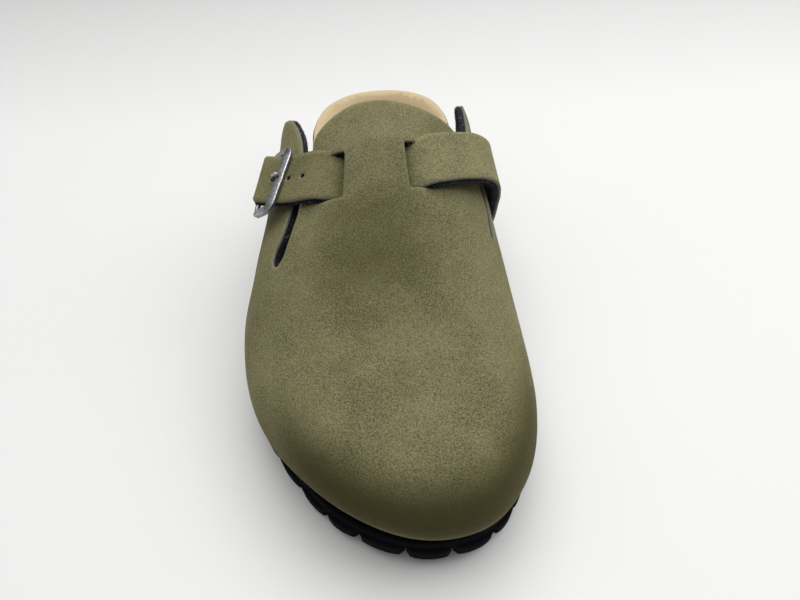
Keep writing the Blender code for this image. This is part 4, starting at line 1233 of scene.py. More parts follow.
def cut_edge(name, colour):
    """The pale, slightly fibrous cut through the microfibre."""
    material, tree, shader, place = new_material(name, 0.9)
    tone, height = nap_of(tree, place, 2600.0, 220.0)
    bumped(tree, shader, height, 0.5, 0.0004)
    return colour_of(material, tree, shader, blended(tree, tone, rgb(colour, 0.6), rgb(colour, 1.25)))


def felt(name, colour, lint):
    """Black felt: a woolly surface with specks of pale lint."""
    material, tree, shader, place = new_material(name, 1.0, Specular_IOR_Level=0.1, Sheen_Weight=0.12)
    tone, height = nap_of(tree, place, 900.0, 180.0)
    wool = blended(tree, tone, rgb(colour, 0.5), rgb(colour, 1.9))
    specks = ranged(tree, noise(tree, place, 1300.0, 2.0, 0.5), 0.64, 0.70)
    bumped(tree, shader, height, 1.0, 0.0012)
    return colour_of(material, tree, shader, blended(tree, specks, wool, rgb(lint)))


def cork(name, colour):
    """Pressed cork: pale and dark granules with dark joints."""
    material, tree, shader, place = new_material(name, 0.75)
    inputs = {"Vector": place, "Scale": 420.0, "Randomness": 1.0}
    cells = add_node(tree, "ShaderNodeTexVoronoi", inputs)
    joints = add_node(tree, "ShaderNodeTexVoronoi", inputs, feature="DISTANCE_TO_EDGE")
    cell_tone = ranged(tree, noise(tree, cells.outputs["Position"], 3000.0, 1.0), 0.3, 0.7)
    granule = blended(tree, cell_tone, rgb(colour, 0.55), rgb(colour, 1.35))
    gap = ranged(tree, joints.outputs["Distance"], 0.0, 0.09)
    tone = nap_of(tree, place, 1800.0, 60.0)[0]
    shaded = blended(tree, maths(tree, "MULTIPLY", tone, 0.3), granule, rgb(colour, 0.7))
    bumped(tree, shader, gap, 0.6, 0.0005)
    return colour_of(material, tree, shader, blended(tree, gap, rgb(colour, 0.25), shaded))


def foam(name, colour):
    """Black moulded foam with a fine pebbled skin, scuffed paler along its edges."""
    material, tree, shader, place = new_material(name, 0.8, Specular_IOR_Level=0.03)
    tone, height = nap_of(tree, place, 700.0, 40.0)
    skin = blended(tree, tone, rgb(colour, 0.7), rgb(colour, 1.5))
    worn = blended(tree, worn_edges(tree, place, 300.0, 0.4), skin, rgb(colour, 2.2))
    tree.links.new(ranged(tree, tone, 0.0, 1.0, 0.7, 0.95), shader.inputs["Roughness"])
    bumped(tree, shader, height, 0.5, 0.0006)
    return colour_of(material, tree, shader, worn)


def aged_metal(name, colour):
    """Antique silver: dark and pitted on its faces, bright along its bevels."""
    material, tree, shader, place = new_material(name, 0.35, Metallic=1.0)
    tone, height = nap_of(tree, place, 900.0, 260.0)
    face = blended(tree, tone, rgb(colour, 0.28), rgb(colour, 0.9))
    bright = blended(tree, worn_edges(tree, place, 900.0, 1.0), face, rgb(colour, 2.2))
    tree.links.new(ranged(tree, tone, 0.0, 1.0, 0.55, 0.32), shader.inputs["Roughness"])
    bumped(tree, shader, height, 0.6, 0.0003)
    return colour_of(material, tree, shader, bright)


def plain_floor(name, colour):
    """A pale sheet with painted shade that greys it softly behind the shoe."""
    material, tree, shader, place = new_material(name, 0.6)
    tone = blended(tree, noise(tree, place, 2.0, 2.0), rgb(colour, 0.985), rgb(colour, 1.0))
    # Painted shade: the floor is drawn darker from 0.17 to 0.40 m behind the shoe's middle.
    depth = add_node(tree, "ShaderNodeSeparateXYZ", {"Vector": place}).outputs["Y"]
    behind = ranged(tree, depth, 0.17, 0.40)
    return colour_of(material, tree, shader, blended(tree, behind, tone, rgb(colour, 0.75)))


# Pieces
def make_upper(sizes, colours):
    """The microfibre skin and the felt behind it."""
    outline = upper_outline()
    holes = [slot_loop(SLOT_OUTER), slot_loop(SLOT_INNER)]
    skin = sizes.skin / MM
    olive = microfibre("olive microfibre", colours.microfibre, sizes.grain)
    finishes = [olive, cut_edge("microfibre cut edge", colours.cut_edge)]
    levels = (0.0, -skin)
    shell = layered("upper_skin", outline, holes, 2.0, upper_lay, levels, 0.15, finishes, None, painted_shade_on_upper)
    settle(shell, ["upper"])
    black = felt("black felt", colours.felt, colours.lint)
    levels = (-skin - GLUE, 0.1 - WALL)
    lining = layered("upper_felt", outline, holes, 3.2, upper_lay, levels, sizes.felt_proud / MM, [black])
    add_fibres(lining, "upper_fuzz", black, 5, sizes.fuzz)
    settle(lining, ["upper"])


def add_fibres(cloth, name, material, seed, density):
    """Short curled fibres on the rims of a felt."""
    foot = [(0.07, 0, -0.1), (-0.035, 0.06, -0.1), (-0.035, -0.06, -0.1)]
    blade = [*foot, (0.12, 0.05, 0.45), (0.32, -0.05, 0.75)]
    faces = [(0, 1, 3), (1, 2, 3), (2, 0, 3), (0, 3, 4), (3, 1, 4), (1, 0, 4)]
    fibre = pattern_object("fibre", blade, faces)
    inputs = {"Fibre": fibre, "Density": density, "Seed": seed, "Material": material}
    piece = grown(name, cloth, fibre_tree(), inputs)
    bpy.data.objects.remove(fibre)
    settle(piece, [])


def strap_outline(spacing=1.5):
    length = lengths(strap_line()[1])[-1]
    half = STRAP_WIDTH / 2
    stations = np.linspace(0.0, length, round(length / spacing) + 1)
    front = stations + FREE_END_SLANT * np.clip(1.0 - stations / 12.0, 0.0, 1.0)
    corners = np.array([(front[0], -half), (length, -half), (length, half), (0.0, half)])
    return stations, rounded_corners(corners, 1.0, spacing)


def microfibre(name, colour, grain):
    """The nap of the upper, strap and tab."""
    return napped(name, colour, grain, 52.0, contrast=0.68, roughness=0.88, sheen=SHEEN_OF_NAP, bump=0.9)


def make_strap(sizes, colours):
    """The strap: microfibre over felt, with punched holes through both."""
    stations, outline = strap_outline()
    holes = [clockwise(hole) for hole in strap_holes()]
    grid = strip_grid(stations, np.linspace(-9.2, 9.2, 9), holes)
    grid = grid[nearest(grid, outline) > 0.9]
    grid = grid[inside(grid, outline)]
    top = STRAP_THICKNESS / 2
    middle = top - sizes.skin / MM
    # Painted light: the strap is the upper's microfibre drawn paler, as if lit more.
    olive = microfibre("strap microfibre painted lighter", rgb(colours.microfibre, STRAP_PAINTED_LIGHT)[:3], sizes.grain)
    finishes = [olive, bpy.data.materials["microfibre cut edge"]]
    black = bpy.data.materials["black felt"]
    under_bridge = strap_length_at(0.0)
    bare = strap_length_at(-29.0)

    def strap_painted_shade(flat):
        """Painted shade on the strap: darker from under the bridge out to the buckle."""
        return 0.38 * ease((under_bridge - flat[:, 0]) / 10.0)

    def thick_felt(flat, height):
        """The felt is full from the outer slot on, and thinner where the buckle holds it."""
        share = (middle - GLUE - height) / (middle - GLUE + top)
        return strap_sheet(flat, height - sizes.felt_extra / MM * share * ease((flat[:, 0] - bare) / 12.0))

    levels = (top, middle)
    shell = layered("strap_skin", outline, holes, 2.0, strap_sheet, levels, 0.12, finishes, grid, strap_painted_shade)
    settle(shell, ["strap"])
    levels = (middle - GLUE, -top)
    proud = sizes.felt_proud / MM
    lining = layered("strap_felt", outline, holes, 2.0, thick_felt, levels, proud, [black], grid)
    add_fibres(lining, "strap_fuzz", black, 8, sizes.fuzz)
    settle(lining, ["strap"])


def buckle_loop(half, drop):
    """The frame's middle line, drop from the bar at 0, and half its width to each side."""
    loop = []
    for x, y, turn in ((drop, half, 0), (0.0, half, 90), (0.0, -half, 180), (drop, -half, 270)):
        corner = BUCKLE_CORNER if x == 0.0 else PIVOT_CORNER
        middle_x = x + corner * (1 if x == 0.0 else -1)
        middle_y = y - corner * np.sign(y)
        for angle in np.radians(np.linspace(turn, turn + 90, 12)):
            loop.append((middle_x + corner * math.cos(angle), middle_y + corner * math.sin(angle)))
    loop = np.array(loop)
    return evenly(np.vstack([loop, loop[:1]]), 0.7)[:-1]


def make_buckle(colours):
    """The frame round the strap and the prong through its hole."""
    silver = aged_metal("aged silver", colours.silver)
    bar, pivot, down, sideways, out, strap_out = buckle_frame_points()
    half = (STRAP_WIDTH + BUCKLE_ARM_WIDTH) / 2 + BUCKLE_CLEARANCE
    drop = np.linalg.norm(pivot - bar)
    loop = buckle_loop(half, drop)
    dip = PRONG_DIP * np.exp(-((loop[:, 1] / 1.6) ** 2)) * (loop[:, 0] < 1.0)
    path = bar + loop[:, :1] * down + loop[:, 1:] * sideways - dip[:, None] * strap_out
    sections, normals, edges = [], [], []
    for x, y in loop:
        round_share = float(ease((x - drop + 2.4) / 1.6))
        bar_share = float(1.0 - ease((x - 0.6) / 2.2))
        width = mix(BUCKLE_ARM_WIDTH, BUCKLE_BAR_WIDTH * (1.0 - 0.06 * math.cos(y / half * 1.5)), bar_share)
        width = mix(width, 2 * PIVOT_RADIUS, round_share)
        depth = mix(mix(BUCKLE_ARM_DEPTH, BUCKLE_BAR_THICKNESS, bar_share), 2 * PIVOT_RADIUS, round_share)
        sections.append(rounded_section(width, depth, mix(0.42, PIVOT_RADIUS - 0.01, round_share)))
        normals.append(unit(mix(out, strap_out, float(1.0 - ease((x - 0.8) / 2.0)))))
        edges += [1.0 if k % 4 in (1, 2) else 0.62 for k in range(16)]
    points, faces = swept(path, sections, np.array(normals))
    ring = make_piece("buckle_ring", points, faces, [silver], edge=edges)
    settle(ring, ["buckle_frame"])
    points, faces = wire(*prong_path(pivot, down, out))
    prong = make_piece("buckle_pin", points, faces, [silver], edge=np.full(len(points), 0.95))
    settle(prong, ["buckle_prong"])


def prong_path(pivot, down, out):
    """Hooked under the pivot, up through the strap's hole, its ball on the bar."""
    hook = PIVOT_RADIUS + GAP + PRONG_RADIUS
    turns = np.radians([-165, -125, -85, -50])
    path = [pivot + hook * (math.cos(a) * -down + math.sin(a) * out) for a in turns]
    beside = STRAP_THICKNESS / 2 + GAP + PRONG_RADIUS
    on_bar = beside + BUCKLE_BAR_THICKNESS + 0.1
    before_bar = np.array([-6.6, -5.2, -4.3, -3.7, -2.4, -0.9])
    heights = np.array([-beside - 0.1, -beside + 0.1, -0.2, beside - 0.1, on_bar - 0.5, on_bar - 0.1])
    flat = np.column_stack([strap_length_at(BAR_ACROSS) + before_bar, np.zeros(6)])
    path = evenly(spline(np.vstack([path, strap_sheet(flat, heights)]), 8, closed=False), 0.5)
    to_tip = lengths(path)[-1] - lengths(path)
    radii = PRONG_RADIUS * (0.86 + 0.3 * np.exp(-((to_tip / 0.9) ** 2)))
    return path, radii


def tab_sheet():
    """The tab's length, and its flat pattern laid round the pivot."""
    _, pivot, down, sideways, out, _ = buckle_frame_points()
    sides = TAB_OFFSET + TAB_WIDTH * np.array([-0.5, 0.0, 0.5])
    lines = [tab_line(pivot, down, sideways, out, y) for y in sides]
    length = lengths(lines[1])[-1]

    def place(flat):
        low, middle, high = (at_length(line, flat[:, 0] / length * lengths(line)[-1]) for line in lines)
        share = (flat[:, 1:2] - sides[1]) / (sides[2] - sides[1])
        return middle + share * (high - low) / 2 + share**2 * ((high + low) / 2 - middle)

    def lay(flat, height):
        step = 0.4
        inner = np.column_stack([np.clip(flat[:, 0], step, length - step), flat[:, 1]])
        run = place(inner + (step, 0.0)) - place(inner - (step, 0.0))
        over = place(inner + (0.0, step)) - place(inner - (0.0, step))
        return place(flat) + np.reshape(height, (-1, 1)) * unit(np.cross(run, over))

    return length, sides, lay


def box_corners(x0, x1, y0, y1):
    return np.array([(x0, y0), (x1, y0), (x1, y1), (x0, y1)])


def make_tab(colours):
    """The buckle's tab, folded round the pivot and stitched to the quarter."""
    length, sides, lay = tab_sheet()
    total = np.linspace(0.0, length, round(length / 0.9) + 1)
    outline = rounded_corners(box_corners(0, length, sides[0], sides[2]), 1.4, 0.9)
    window = box_corners((length - TAB_WINDOW) / 2, (length + TAB_WINDOW) / 2, -TAB_SLIT, TAB_SLIT)
    window = clockwise(rounded_corners(window, 1.0, 0.9))
    grid = strip_grid(total, np.linspace(sides[0] + 1.2, sides[2] - 1.2, 9), [window])
    finishes = [bpy.data.materials[name] for name in ("olive microfibre", "microfibre cut edge")]
    half = TAB_THICKNESS / 2
    tab = layered("buckle_tab_skin", outline, [window], 2.0, lay, (half, -half), 0.1, finishes, grid)
    settle(tab, ["buckle_tab"])
    make_stitches(length, sides, lay, colours)


def make_stitches(length, sides, lay, colours):
    """A stitched box on the tab's foot."""
    x0, x1 = length - STITCH_INSET, length - STITCH_BOX
    y0, y1 = sides[0] + STITCH_INSET, sides[2] - STITCH_INSET
    box = np.array([(x0, y0), (x0, y1), (x1, y1), (x1, y0)])
    run = evenly(np.vstack([box, box[:1]]), STITCH_PITCH)
    middles, ahead = (run[1:] + run[:-1]) / 2, run[1:] - run[:-1]
    side = 1.0 if lay(middles[:1], 1.0)[0, 0] < lay(middles[:1], -1.0)[0, 0] else -1.0
    on_face = np.full(len(middles), side * (TAB_THICKNESS / 2 + 0.05))
    here = lay(middles, on_face)
    facing = lay(middles + 0.2 * unit(ahead), on_face) - here
    standing = lay(middles, np.full(len(middles), side * 2.0)) - here
    half = STITCH_LENGTH / 2
    path = np.array([(x, 0.0, 0.16 * math.cos(x / half * math.pi / 2)) for x in np.linspace(-half, half, 7)])
    stitch = pattern_object("stitch", *wire(path, np.full(7, THREAD_RADIUS), 8))
    matt = {"contrast": 0.3, "roughness": 0.7, "sheen": 0.1, "bump": 0.4}
    thread = napped("olive thread", colours.thread, 2200.0, 200.0, **matt)
    guide = guide_points("stitch places", here, unit(facing), unit(standing))
    settle(repeated("tab_stitches", stitch, guide, thread), [])


def bed_skin(rings, top_height, bottom_height, spacing, low_spacing):
    """Points and faces of a closed slab: rings between a top sheet and a bottom sheet."""
    count = rings.shape[1]
    flat, top_faces = fill(rings[0, :, :2], spacing=spacing)
    top = np.column_stack([flat, top_height(flat)])
    top[:count] = rings[0]
    if low_spacing == spacing:
        low_flat, low_faces = flat, top_faces
    else:
        low_flat, low_faces = fill(rings[-1, :, :2], spacing=low_spacing)
    under = np.column_stack([low_flat, bottom_height(low_flat)])
    under[:count] = rings[-1]
    blocks = [top, *rings[1:-1], under]
    starts = np.cumsum([0] + [len(block) for block in blocks])
    faces = [tuple(f) for f in top_faces] + [tuple(f[::-1] + starts[-2]) for f in low_faces]
    ids = [np.arange(count) + start for start in starts[:-1]]
    for upper, lower in zip(ids, ids[1:]):
        faces += band(upper, lower)
    return np.vstack(blocks), faces


def make_bed(colours):
    """The cork footbed and its cover."""
    where = np.linspace(0.0, EDGE_LENGTH, 320, endpoint=False)
    edge, out = edge_frame(where)
    low = feather_height(edge[:, 1]) + GAP
    high = read(FOOTBED, FOOTBED_COLUMNS, "y", "rim", edge[:, 1]) - INSOLE_THICKNESS - GAP
    heights = [mix(high - 1.2, low, share) for share in (0.0, 0.2, 0.4, 0.6, 0.8, 0.95, 1.0)]
    rings = side_at_height(where, heights, bed_inset(edge[:, 1]))
    depth = INSOLE_THICKNESS + 0.03
    rim = bed_ring(where)
    rings = np.concatenate([lowered(rim, depth)[None], rings])

    def bed_top(plan):
        return under_bed(plan, depth)

    def bed_foot(plan):
        return feather_height(plan[:, 1]) + GAP

    def cover_foot(plan):
        return under_bed(plan, INSOLE_THICKNESS)

    points, faces = bed_skin(rings, bed_top, bed_foot, 5.0, 16.0)
    body = make_piece("cork_bed", points, faces, [cork("pressed cork", colours.cork)], sharp=60)
    settle(body, ["footbed"])
    rolls = [lowered(rim, INSOLE_THICKNESS * share) for share in (0.3, 0.7, 1.0)]
    for roll in rolls[:2]:
        roll[:, :2] += 0.3 * out
    points, faces = bed_skin(np.array([rim, *rolls]), bed_height, cover_foot, 2.6, 2.6)
    even = {"contrast": 0.07, "roughness": 0.8, "sheen": 0.2, "bump": 0.35}
    lining = napped("beige lining", colours.lining, 1300.0, 60.0, **even)
    cover = make_piece("bed_cover", points, faces, [lining])
    settle(cover, ["insole"])


# Number and place, along the outline, of the notches that the toe shows
NOTCHES_AT_TOE = (
    (15, 238.0),
    (16, 255.0),
    (17, 271.5),
    (18, 286.5),
    (19, 305.5),
    (20, 323.5),
    (21, 341.0),
    (22, 354.0),
)

# Rows of the slab's side: how far out, share of the lobes' bow, share of the way from its foot to its top,
# and how far below that
SLAB_LEVELS = (
    (-1.3, 0.0, 1.0, 0.0),
    (-0.75, 0.0, 1.0, 0.1),
    (-0.3, 0.0, 1.0, 0.4),
    (0.0, 0.0, 1.0, 0.9),
    (0.1, 0.0, 0.55, 0.0),
    (0.2, 0.0, 0.46, 0.0),
    (0.7, 0.25, 0.42, 0.0),
    (0.85, 0.6, 0.36, 0.0),
    (0.8, 0.9, 0.18, 0.0),
    (0.7, 1.0, 0.0, -0.5),
    (0.4, 1.0, 0.0, -0.1),
    (-0.2, 0.9, 0.0, 0.0),
)

# Rows of a lug's side and its hollow foot: how far in, height over the ground, and wear
LUG_LEVELS = (
    (0.1, LUG_HEIGHT + 0.9, 0.2),
    (0.0, LUG_HEIGHT, 0.2),
    (0.05, 1.0, 0.5),
    (0.25, 0.3, 1.0),
    (0.7, 0.0, 1.0),
    (2.6, 0.0, 0.4),
    (3.1, 0.7, 0.4),
)

# Rows of a block's side and its hollow foot: share of its width, and height over the ground
BLOCK_LEVELS = (
    (1.0, LUG_HEIGHT + 0.9),
    (1.0, 1.0),
    (0.95, 0.25),
    (0.86, 0.0),
    (0.62, 0.0),
    (0.54, 0.8),
    (0.2, 0.8),
)


def notch_places():
    """Distances along the outline of the notches between the sole's lobes."""
    lobes = round(EDGE_LENGTH / LUG_PITCH)
    places = (np.arange(lobes) - 0.09) * EDGE_LENGTH / lobes
    for index, place in NOTCHES_AT_TOE:
        places[index] = place
    return places


def notch_bounds():
    """The notches' places, and the first again at the end."""
    notches = notch_places()
    return np.concatenate([notches, notches[:1] + EDGE_LENGTH])


def lobe_share(where):
    """The share of the way through its lobe."""
    bounds = notch_bounds()
    where = np.mod(where - bounds[0], EDGE_LENGTH) + bounds[0]
    number = np.clip(np.searchsorted(bounds, where, side="right") - 1, 0, len(bounds) - 2)
    return (where - bounds[number]) / (bounds[number + 1] - bounds[number])


def lobe_bow(share):
    """How far a lobe stands out: rounded, with a short steep notch at both ends."""
    nip = np.minimum(share, 1.0 - share)
    return 0.9 * np.sin(np.pi * share) ** 0.8 - 1.6 * (1.0 - ease(nip / 0.12))


def slab_rings(edge, out):
    """The slab's side, from inside its top rim down to its flat underside."""
    flare = read(GROUND, GROUND_COLUMNS, "y", "flare", edge[:, 1])
    top = feather_height(edge[:, 1])
    slab = ground_height(edge[:, 1]) + LUG_HEIGHT
    bow = lobe_bow(lobe_share(np.linspace(0.0, EDGE_LENGTH, len(edge), endpoint=False)))
    rings = []
    for grow, share, from_top, drop in SLAB_LEVELS:
        height = mix(slab, top, from_top) - drop
        rings.append(np.column_stack([edge + (flare + grow + share * bow)[:, None] * out, height]))
    return np.array(rings)


def make_sole(colours):
    """The slab with its lobed side, the rim's lugs and the blocks between them."""
    black = foam("black foam", colours.foam)
    edge, out = edge_frame(np.linspace(0.0, EDGE_LENGTH, 800, endpoint=False))

    def slab_top(plan):
        return feather_height(plan[:, 1])

    def slab_foot(plan):
        return ground_height(plan[:, 1]) + LUG_HEIGHT

    points, faces = bed_skin(slab_rings(edge, out), slab_top, slab_foot, 12.0, 11.0)
    slab = (points, faces, [0.0] * len(points))
    lugs = [rim_lug(k) for k in range(len(notch_places()))]
    points, faces, edges = joined([slab, *lugs])
    sole = make_piece("foam_sole", points, faces, [black], sharp=50, edge=edges)
    settle(sole, ["outsole"])
    make_blocks(edge - RIM_ROOM * out, black)


def joined(parts):
    """Several closed pieces as one list of points, faces and edge values."""
    points, faces, edges, total = [], [], [], 0
    for part_points, part_faces, part_edges in parts:
        points.append(part_points)
        faces += [tuple(int(i) + total for i in face) for face in part_faces]
        edges += list(part_edges)
        total += len(part_points)
    return np.vstack(points), faces, edges


def rim_lug(number):
    """One lug of the rim, from inside the slab down to the ground, hollowed a little underneath."""
    bounds = notch_bounds()
    share = np.concatenate([[0.015, 0.035, 0.06], np.linspace(0.1, 0.9, 9), [0.94, 0.965, 0.985]])
    edge, out = edge_frame(mix(bounds[number], bounds[number + 1], share))
    flare = read(GROUND, GROUND_COLUMNS, "y", "flare", edge[:, 1])
    outer = edge + (flare + 0.7 + lobe_bow(share))[:, None] * out
    backs = [-1, -1, -3, 2, 0, 0]
    depths = np.array([[2.0], [6.2], [LUG_DEPTH], [LUG_DEPTH], [6.2], [2.0]])
    plan = np.vstack([outer, outer[backs] - depths * out[backs]])
    middle = plan.mean(axis=0)
    ground = ground_height(plan[:, 1])
    inwards = unit(middle - plan)
    rows = [np.column_stack([plan + inset * inwards, ground + height]) for inset, height, _ in LUG_LEVELS]
    size = len(plan)
    faces = tube_faces(len(rows), size)
    low, high = len(rows) * size, len(rows) * size + 1
    for j in range(size):
        i = (j + 1) % size
        faces.append((low - size + j, low, low - size + i))
        faces.append((i, high, j))
    ends = [(*middle, float(ground.mean()) + height) for height in (LUG_LEVELS[-1][1], LUG_LEVELS[0][1])]
    edges = [wear for *_, wear in LUG_LEVELS for _ in range(size)] + [0.3, 0.3]
    return np.vstack([*rows, ends]), faces, edges


def make_blocks(room, black):
    """Bevelled blocks under the sole, in staggered rows."""
    corners = np.array([(0, -1), (1, -0.52), (1, 0.52), (0, 1), (-1, 0.52), (-1, -0.52)])
    corners = corners * (BLOCK_WIDTH / 2, BLOCK_DEPTH / 2)
    places = []
    for row, y in enumerate(np.arange(room[:, 1].min(), room[:, 1].max(), BLOCK_ROW)):
        for x in np.arange(-4, 5) * BLOCK_COLUMN + (row % 2) * BLOCK_COLUMN / 2:
            if inside(corners + (x, y), room).all():
                places.append((x, y, float(ground_height(np.array([y]))[0])))
    rows = [np.column_stack([corners * share, np.full(6, height)]) for share, height in BLOCK_LEVELS]
    last = 6 * (len(rows) - 1)
    faces = [tuple(range(6)), *tube_faces(len(rows), 6), tuple(range(last, last + 6))[::-1]]
    block = pattern_object("tread block", np.vstack(rows), faces)
    block.data.set_sharp_from_angle(angle=math.radians(30))
    count = len(places)
    facing, standing = [(1.0, 0.0, 0.0)] * count, [(0.0, 0.0, 1.0)] * count
    guide = guide_points("block places", np.array(places), facing, standing)
    blocks = repeated("sole_blocks", block, guide, black)
    settle(blocks, ["outsole"])


# Camera, floor and light. The camera's place and turns were fitted to the photograph.
CAMERA_PLACE = (-3.2, -190.0, 234.8)
CAMERA_TURNS = (1.86, 50.72, -2.70)  # degrees to the right, down and anticlockwise
FOCAL_PIXELS = 588.2
PHOTO_WIDTH = 800.0
SENSOR_WIDTH = 36.0
FLOOR_SPAN = 6.0  # metres
LIT_PLACE = (0.0, -0.02, 0.04)  # where the windows' light is aimed, in metres
RIGHT_WINDOW = 2.4  # strength of the right window beside the left one
WALL_GLOW = 0.82  # the room's light where the camera sees it


def make_stage(look):
    """The camera at the photograph's angle, the floor and soft light."""
    make_camera()
    make_floor(look)
    make_lights(look)
    make_room(look)
    bpy.context.scene.view_settings.view_transform = "Standard"


def make_camera():
    """The camera, from its place and its turns as fitted to the photograph."""
    yaw, pitch, roll = (math.radians(x) for x in CAMERA_TURNS)
    ahead = np.array([math.sin(yaw) * math.cos(pitch), math.cos(yaw) * math.cos(pitch), -math.sin(pitch)])
    level = np.array([math.cos(yaw), -math.sin(yaw), 0.0])
    upright = np.cross(level, ahead)
    turn = np.eye(4)
    turn[:3, 0] = math.cos(roll) * level + math.sin(roll) * upright
    turn[:3, 1] = math.cos(roll) * upright - math.sin(roll) * level
    turn[:3, 2] = -ahead
    turn[:3, 3] = placed([CAMERA_PLACE])[0]
    camera = linked("camera", bpy.data.cameras.new("camera"))
    camera.data.sensor_fit = "HORIZONTAL"
    camera.data.sensor_width = SENSOR_WIDTH
    camera.data.lens = FOCAL_PIXELS * SENSOR_WIDTH / PHOTO_WIDTH
    camera.data.clip_start = 0.01
    camera.matrix_world = Matrix(turn.tolist())
    bpy.context.scene.camera = camera


def make_floor(look):
    """A pale floor, far larger than the view."""
    corners = box_corners(-FLOOR_SPAN, FLOOR_SPAN, -FLOOR_SPAN, FLOOR_SPAN)
    mesh = plain_mesh("floor", np.column_stack([corners, np.zeros(4)]), [(0, 1, 2, 3)])
    mesh.materials.append(plain_floor("pale floor", look.floor))
    linked("floor", mesh)


def make_lights(look):
    """Round windows above and at both sides, and an even light from above."""
    for name, spot, size, power in (
        ("window above", (0.12, 0.34, 1.10), 1.2, look.key),
        ("window left", (-0.85, 0.10, 0.95), 0.8, look.fill),
        ("window right", (0.95, 0.05, 0.85), 0.8, RIGHT_WINDOW * look.fill),
    ):
        light = bpy.data.lights.new(name, "AREA")
        light.shape = "DISK"
        light.size = size
        light.energy = power
        lamp = linked(name, light)
        lamp.location = spot
        face_away(lamp, np.array(spot) - LIT_PLACE)
    ceiling = bpy.data.lights.new("bright ceiling", "SUN")
    ceiling.energy = look.ceiling
    ceiling.angle = math.radians(75.0)
    face_away(linked("bright ceiling", ceiling), np.array([0.12, 0.30, 1.0]))


def face_away(lamp, away):
    """Turns a lamp so that its back points along a direction."""
    lamp.rotation_mode = "QUATERNION"
    lamp.rotation_quaternion = Vector(away.tolist()).to_track_quat("Z", "Y")


def make_room(look):
    """The room's own light: dim at the horizon, and pale where the camera sees it."""
    world = bpy.data.worlds.new("soft room")
    world.use_nodes = True
    tree = world.node_tree
    background = tree.nodes["Background"]
    background.inputs["Color"].default_value = (1.0, 0.995, 0.985, 1.0)
    way = tree.nodes.new("ShaderNodeTexCoord").outputs["Generated"]
    rise = add_node(tree, "ShaderNodeSeparateXYZ", {"Vector": way}).outputs["Z"]
    seen = tree.nodes.new("ShaderNodeLightPath").outputs["Is Camera Ray"]
    glow = ranged(tree, rise, 0.1, 1.0, 0.12 * look.room, look.room)
    strength = maths(tree, "MAXIMUM", glow, maths(tree, "MULTIPLY", seen, WALL_GLOW))
    tree.links.new(strength, background.inputs["Strength"])
    bpy.context.scene.world = world


# The add-on's settings, operators and panel
def length_property(name, description, default):
    return bpy.props.FloatProperty(
        name=name, description=description, default=default, unit="LENGTH", precision=5
    )


def colour_property(name, description, default):
    return bpy.props.FloatVectorProperty(
        name=name, description=description, default=default, subtype="COLOR", min=0.0, max=1.0
    )


class ClogSizes(bpy.types.PropertyGroup):
    """Sizes that are the scene's own."""

    skin: length_property("Skin", "Thickness of the microfibre over the felt", 0.0013)
    felt_proud: length_property("Felt proud", "How far the felt stands out at its cut edges", 0.0006)
    felt_extra: length_property("Felt extra", "More felt under the strap where no buckle holds it", 0.0009)
    grain: bpy.props.FloatProperty(name="Nap grain", description="Speckles per metre of nap", default=1700.0)
    fuzz: bpy.props.FloatProperty(
        name="Fuzz", description="Fibres per square metre of felt rim", default=2600000.0
    )


class ClogColours(bpy.types.PropertyGroup):
    """Base colours of the finishes."""

    microfibre: colour_property("Microfibre", "Olive nap of the upper, strap and tab", (0.169, 0.157, 0.080))
    cut_edge: colour_property("Cut edge", "Cut edge of the microfibre", (0.190, 0.190, 0.160))
    felt: colour_property("Felt", "Felt behind the microfibre", (0.0085, 0.0080, 0.0130))
    lint: colour_property("Lint", "Pale specks on the felt", (0.30, 0.30, 0.33))
    lining: colour_property("Lining", "Cover of the footbed", (0.565, 0.445, 0.268))
    cork: colour_property("Cork", "Cork of the footbed", (0.42, 0.27, 0.14))
    foam: colour_property("Foam", "Black foam of the sole", (0.0040, 0.0037, 0.0052))
    silver: colour_property("Silver", "Antique silver of the buckle", (0.30, 0.30, 0.31))
    thread: colour_property("Thread", "Sewing thread of the tab", (0.10, 0.095, 0.055))


class ClogLook(bpy.types.PropertyGroup):
    """Floor and light."""

    floor: colour_property("Floor", "Pale floor", (0.73, 0.73, 0.725))
    key: bpy.props.FloatProperty(name="Key", description="Window above and behind", default=6.5, unit="POWER")
    ceiling: bpy.props.FloatProperty(name="Ceiling", description="Even light from above", default=1.5)
    fill: bpy.props.FloatProperty(name="Fill", description="Windows at the sides", default=1.5, unit="POWER")
    room: bpy.props.FloatProperty(name="Room", description="Strength of the room's own light", default=0.34)


class CLOG_OT_upper(bpy.types.Operator):
    """Make the upper's microfibre skin and its felt"""

    bl_idname = "clog.upper"
    bl_label = "Upper"

    def execute(self, context):
        make_upper(context.scene.clog_sizes, context.scene.clog_colours)
        return {"FINISHED"}


class CLOG_OT_strap(bpy.types.Operator):
    """Make the strap that runs through the slots"""

    bl_idname = "clog.strap"
    bl_label = "Strap"

    def execute(self, context):
        make_strap(context.scene.clog_sizes, context.scene.clog_colours)
        return {"FINISHED"}


class CLOG_OT_buckle(bpy.types.Operator):
    """Make the buckle's ring and pin"""

    bl_idname = "clog.buckle"
    bl_label = "Buckle"

    def execute(self, context):
        make_buckle(context.scene.clog_colours)
        return {"FINISHED"}


class CLOG_OT_tab(bpy.types.Operator):
    """Make the buckle's tab and its stitches"""

    bl_idname = "clog.tab"
    bl_label = "Buckle tab"

    def execute(self, context):
        make_tab(context.scene.clog_colours)
        return {"FINISHED"}


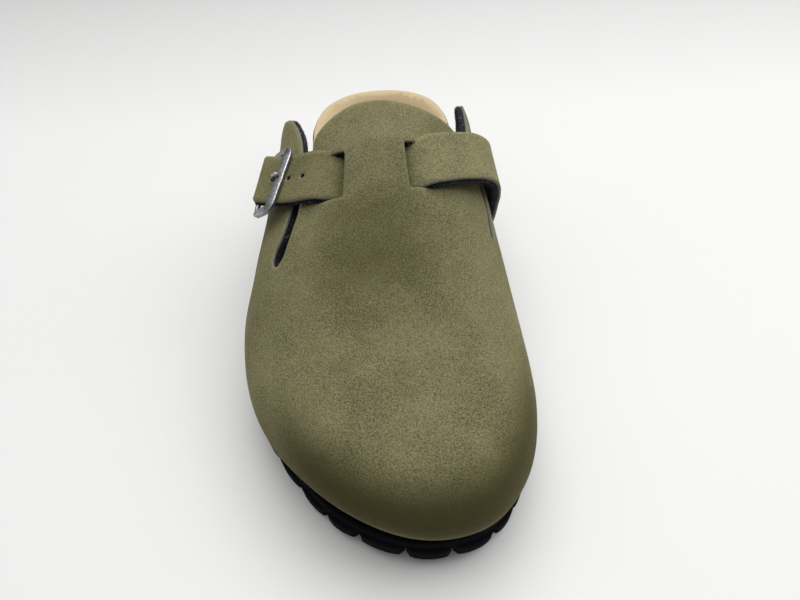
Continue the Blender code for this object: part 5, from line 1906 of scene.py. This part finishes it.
class CLOG_OT_bed(bpy.types.Operator):
    """Make the cork footbed and its cover"""

    bl_idname = "clog.bed"
    bl_label = "Footbed"

    def execute(self, context):
        make_bed(context.scene.clog_colours)
        return {"FINISHED"}


class CLOG_OT_sole(bpy.types.Operator):
    """Make the lugged sole"""

    bl_idname = "clog.sole"
    bl_label = "Sole"

    def execute(self, context):
        make_sole(context.scene.clog_colours)
        return {"FINISHED"}


class CLOG_OT_stage(bpy.types.Operator):
    """Make the camera, the floor and the light"""

    bl_idname = "clog.stage"
    bl_label = "Stage"

    def execute(self, context):
        make_stage(context.scene.clog_look)
        return {"FINISHED"}


OPERATORS = (
    CLOG_OT_stage,
    CLOG_OT_upper,
    CLOG_OT_strap,
    CLOG_OT_buckle,
    CLOG_OT_tab,
    CLOG_OT_bed,
    CLOG_OT_sole,
)


class CLOG_PT_panel(bpy.types.Panel):
    """Lists the clog's settings and pieces"""

    bl_idname = "CLOG_PT_panel"
    bl_label = "Clog slipper"
    bl_space_type = "VIEW_3D"
    bl_region_type = "UI"
    bl_category = "Clog"

    def draw(self, context):
        for group in (context.scene.clog_sizes, context.scene.clog_colours, context.scene.clog_look):
            for name in group.__annotations__:
                self.layout.prop(group, name)
        for operator in OPERATORS:
            self.layout.operator(operator.bl_idname)


CLASSES = (ClogSizes, ClogColours, ClogLook, *OPERATORS, CLOG_PT_panel)


def register():
    for cls in CLASSES:
        bpy.utils.register_class(cls)
    bpy.types.Scene.clog_sizes = bpy.props.PointerProperty(type=ClogSizes)
    bpy.types.Scene.clog_colours = bpy.props.PointerProperty(type=ClogColours)
    bpy.types.Scene.clog_look = bpy.props.PointerProperty(type=ClogLook)


def unregister():
    for name in ("clog_sizes", "clog_colours", "clog_look"):
        delattr(bpy.types.Scene, name)
    for cls in reversed(CLASSES):
        bpy.utils.unregister_class(cls)


def main():
    """Makes every piece in order."""
    register()
    bpy.ops.clog.stage()
    bpy.ops.clog.upper()
    bpy.ops.clog.strap()
    bpy.ops.clog.buckle()
    bpy.ops.clog.tab()
    bpy.ops.clog.bed()
    bpy.ops.clog.sole()


if __name__ == "__main__":
    main()
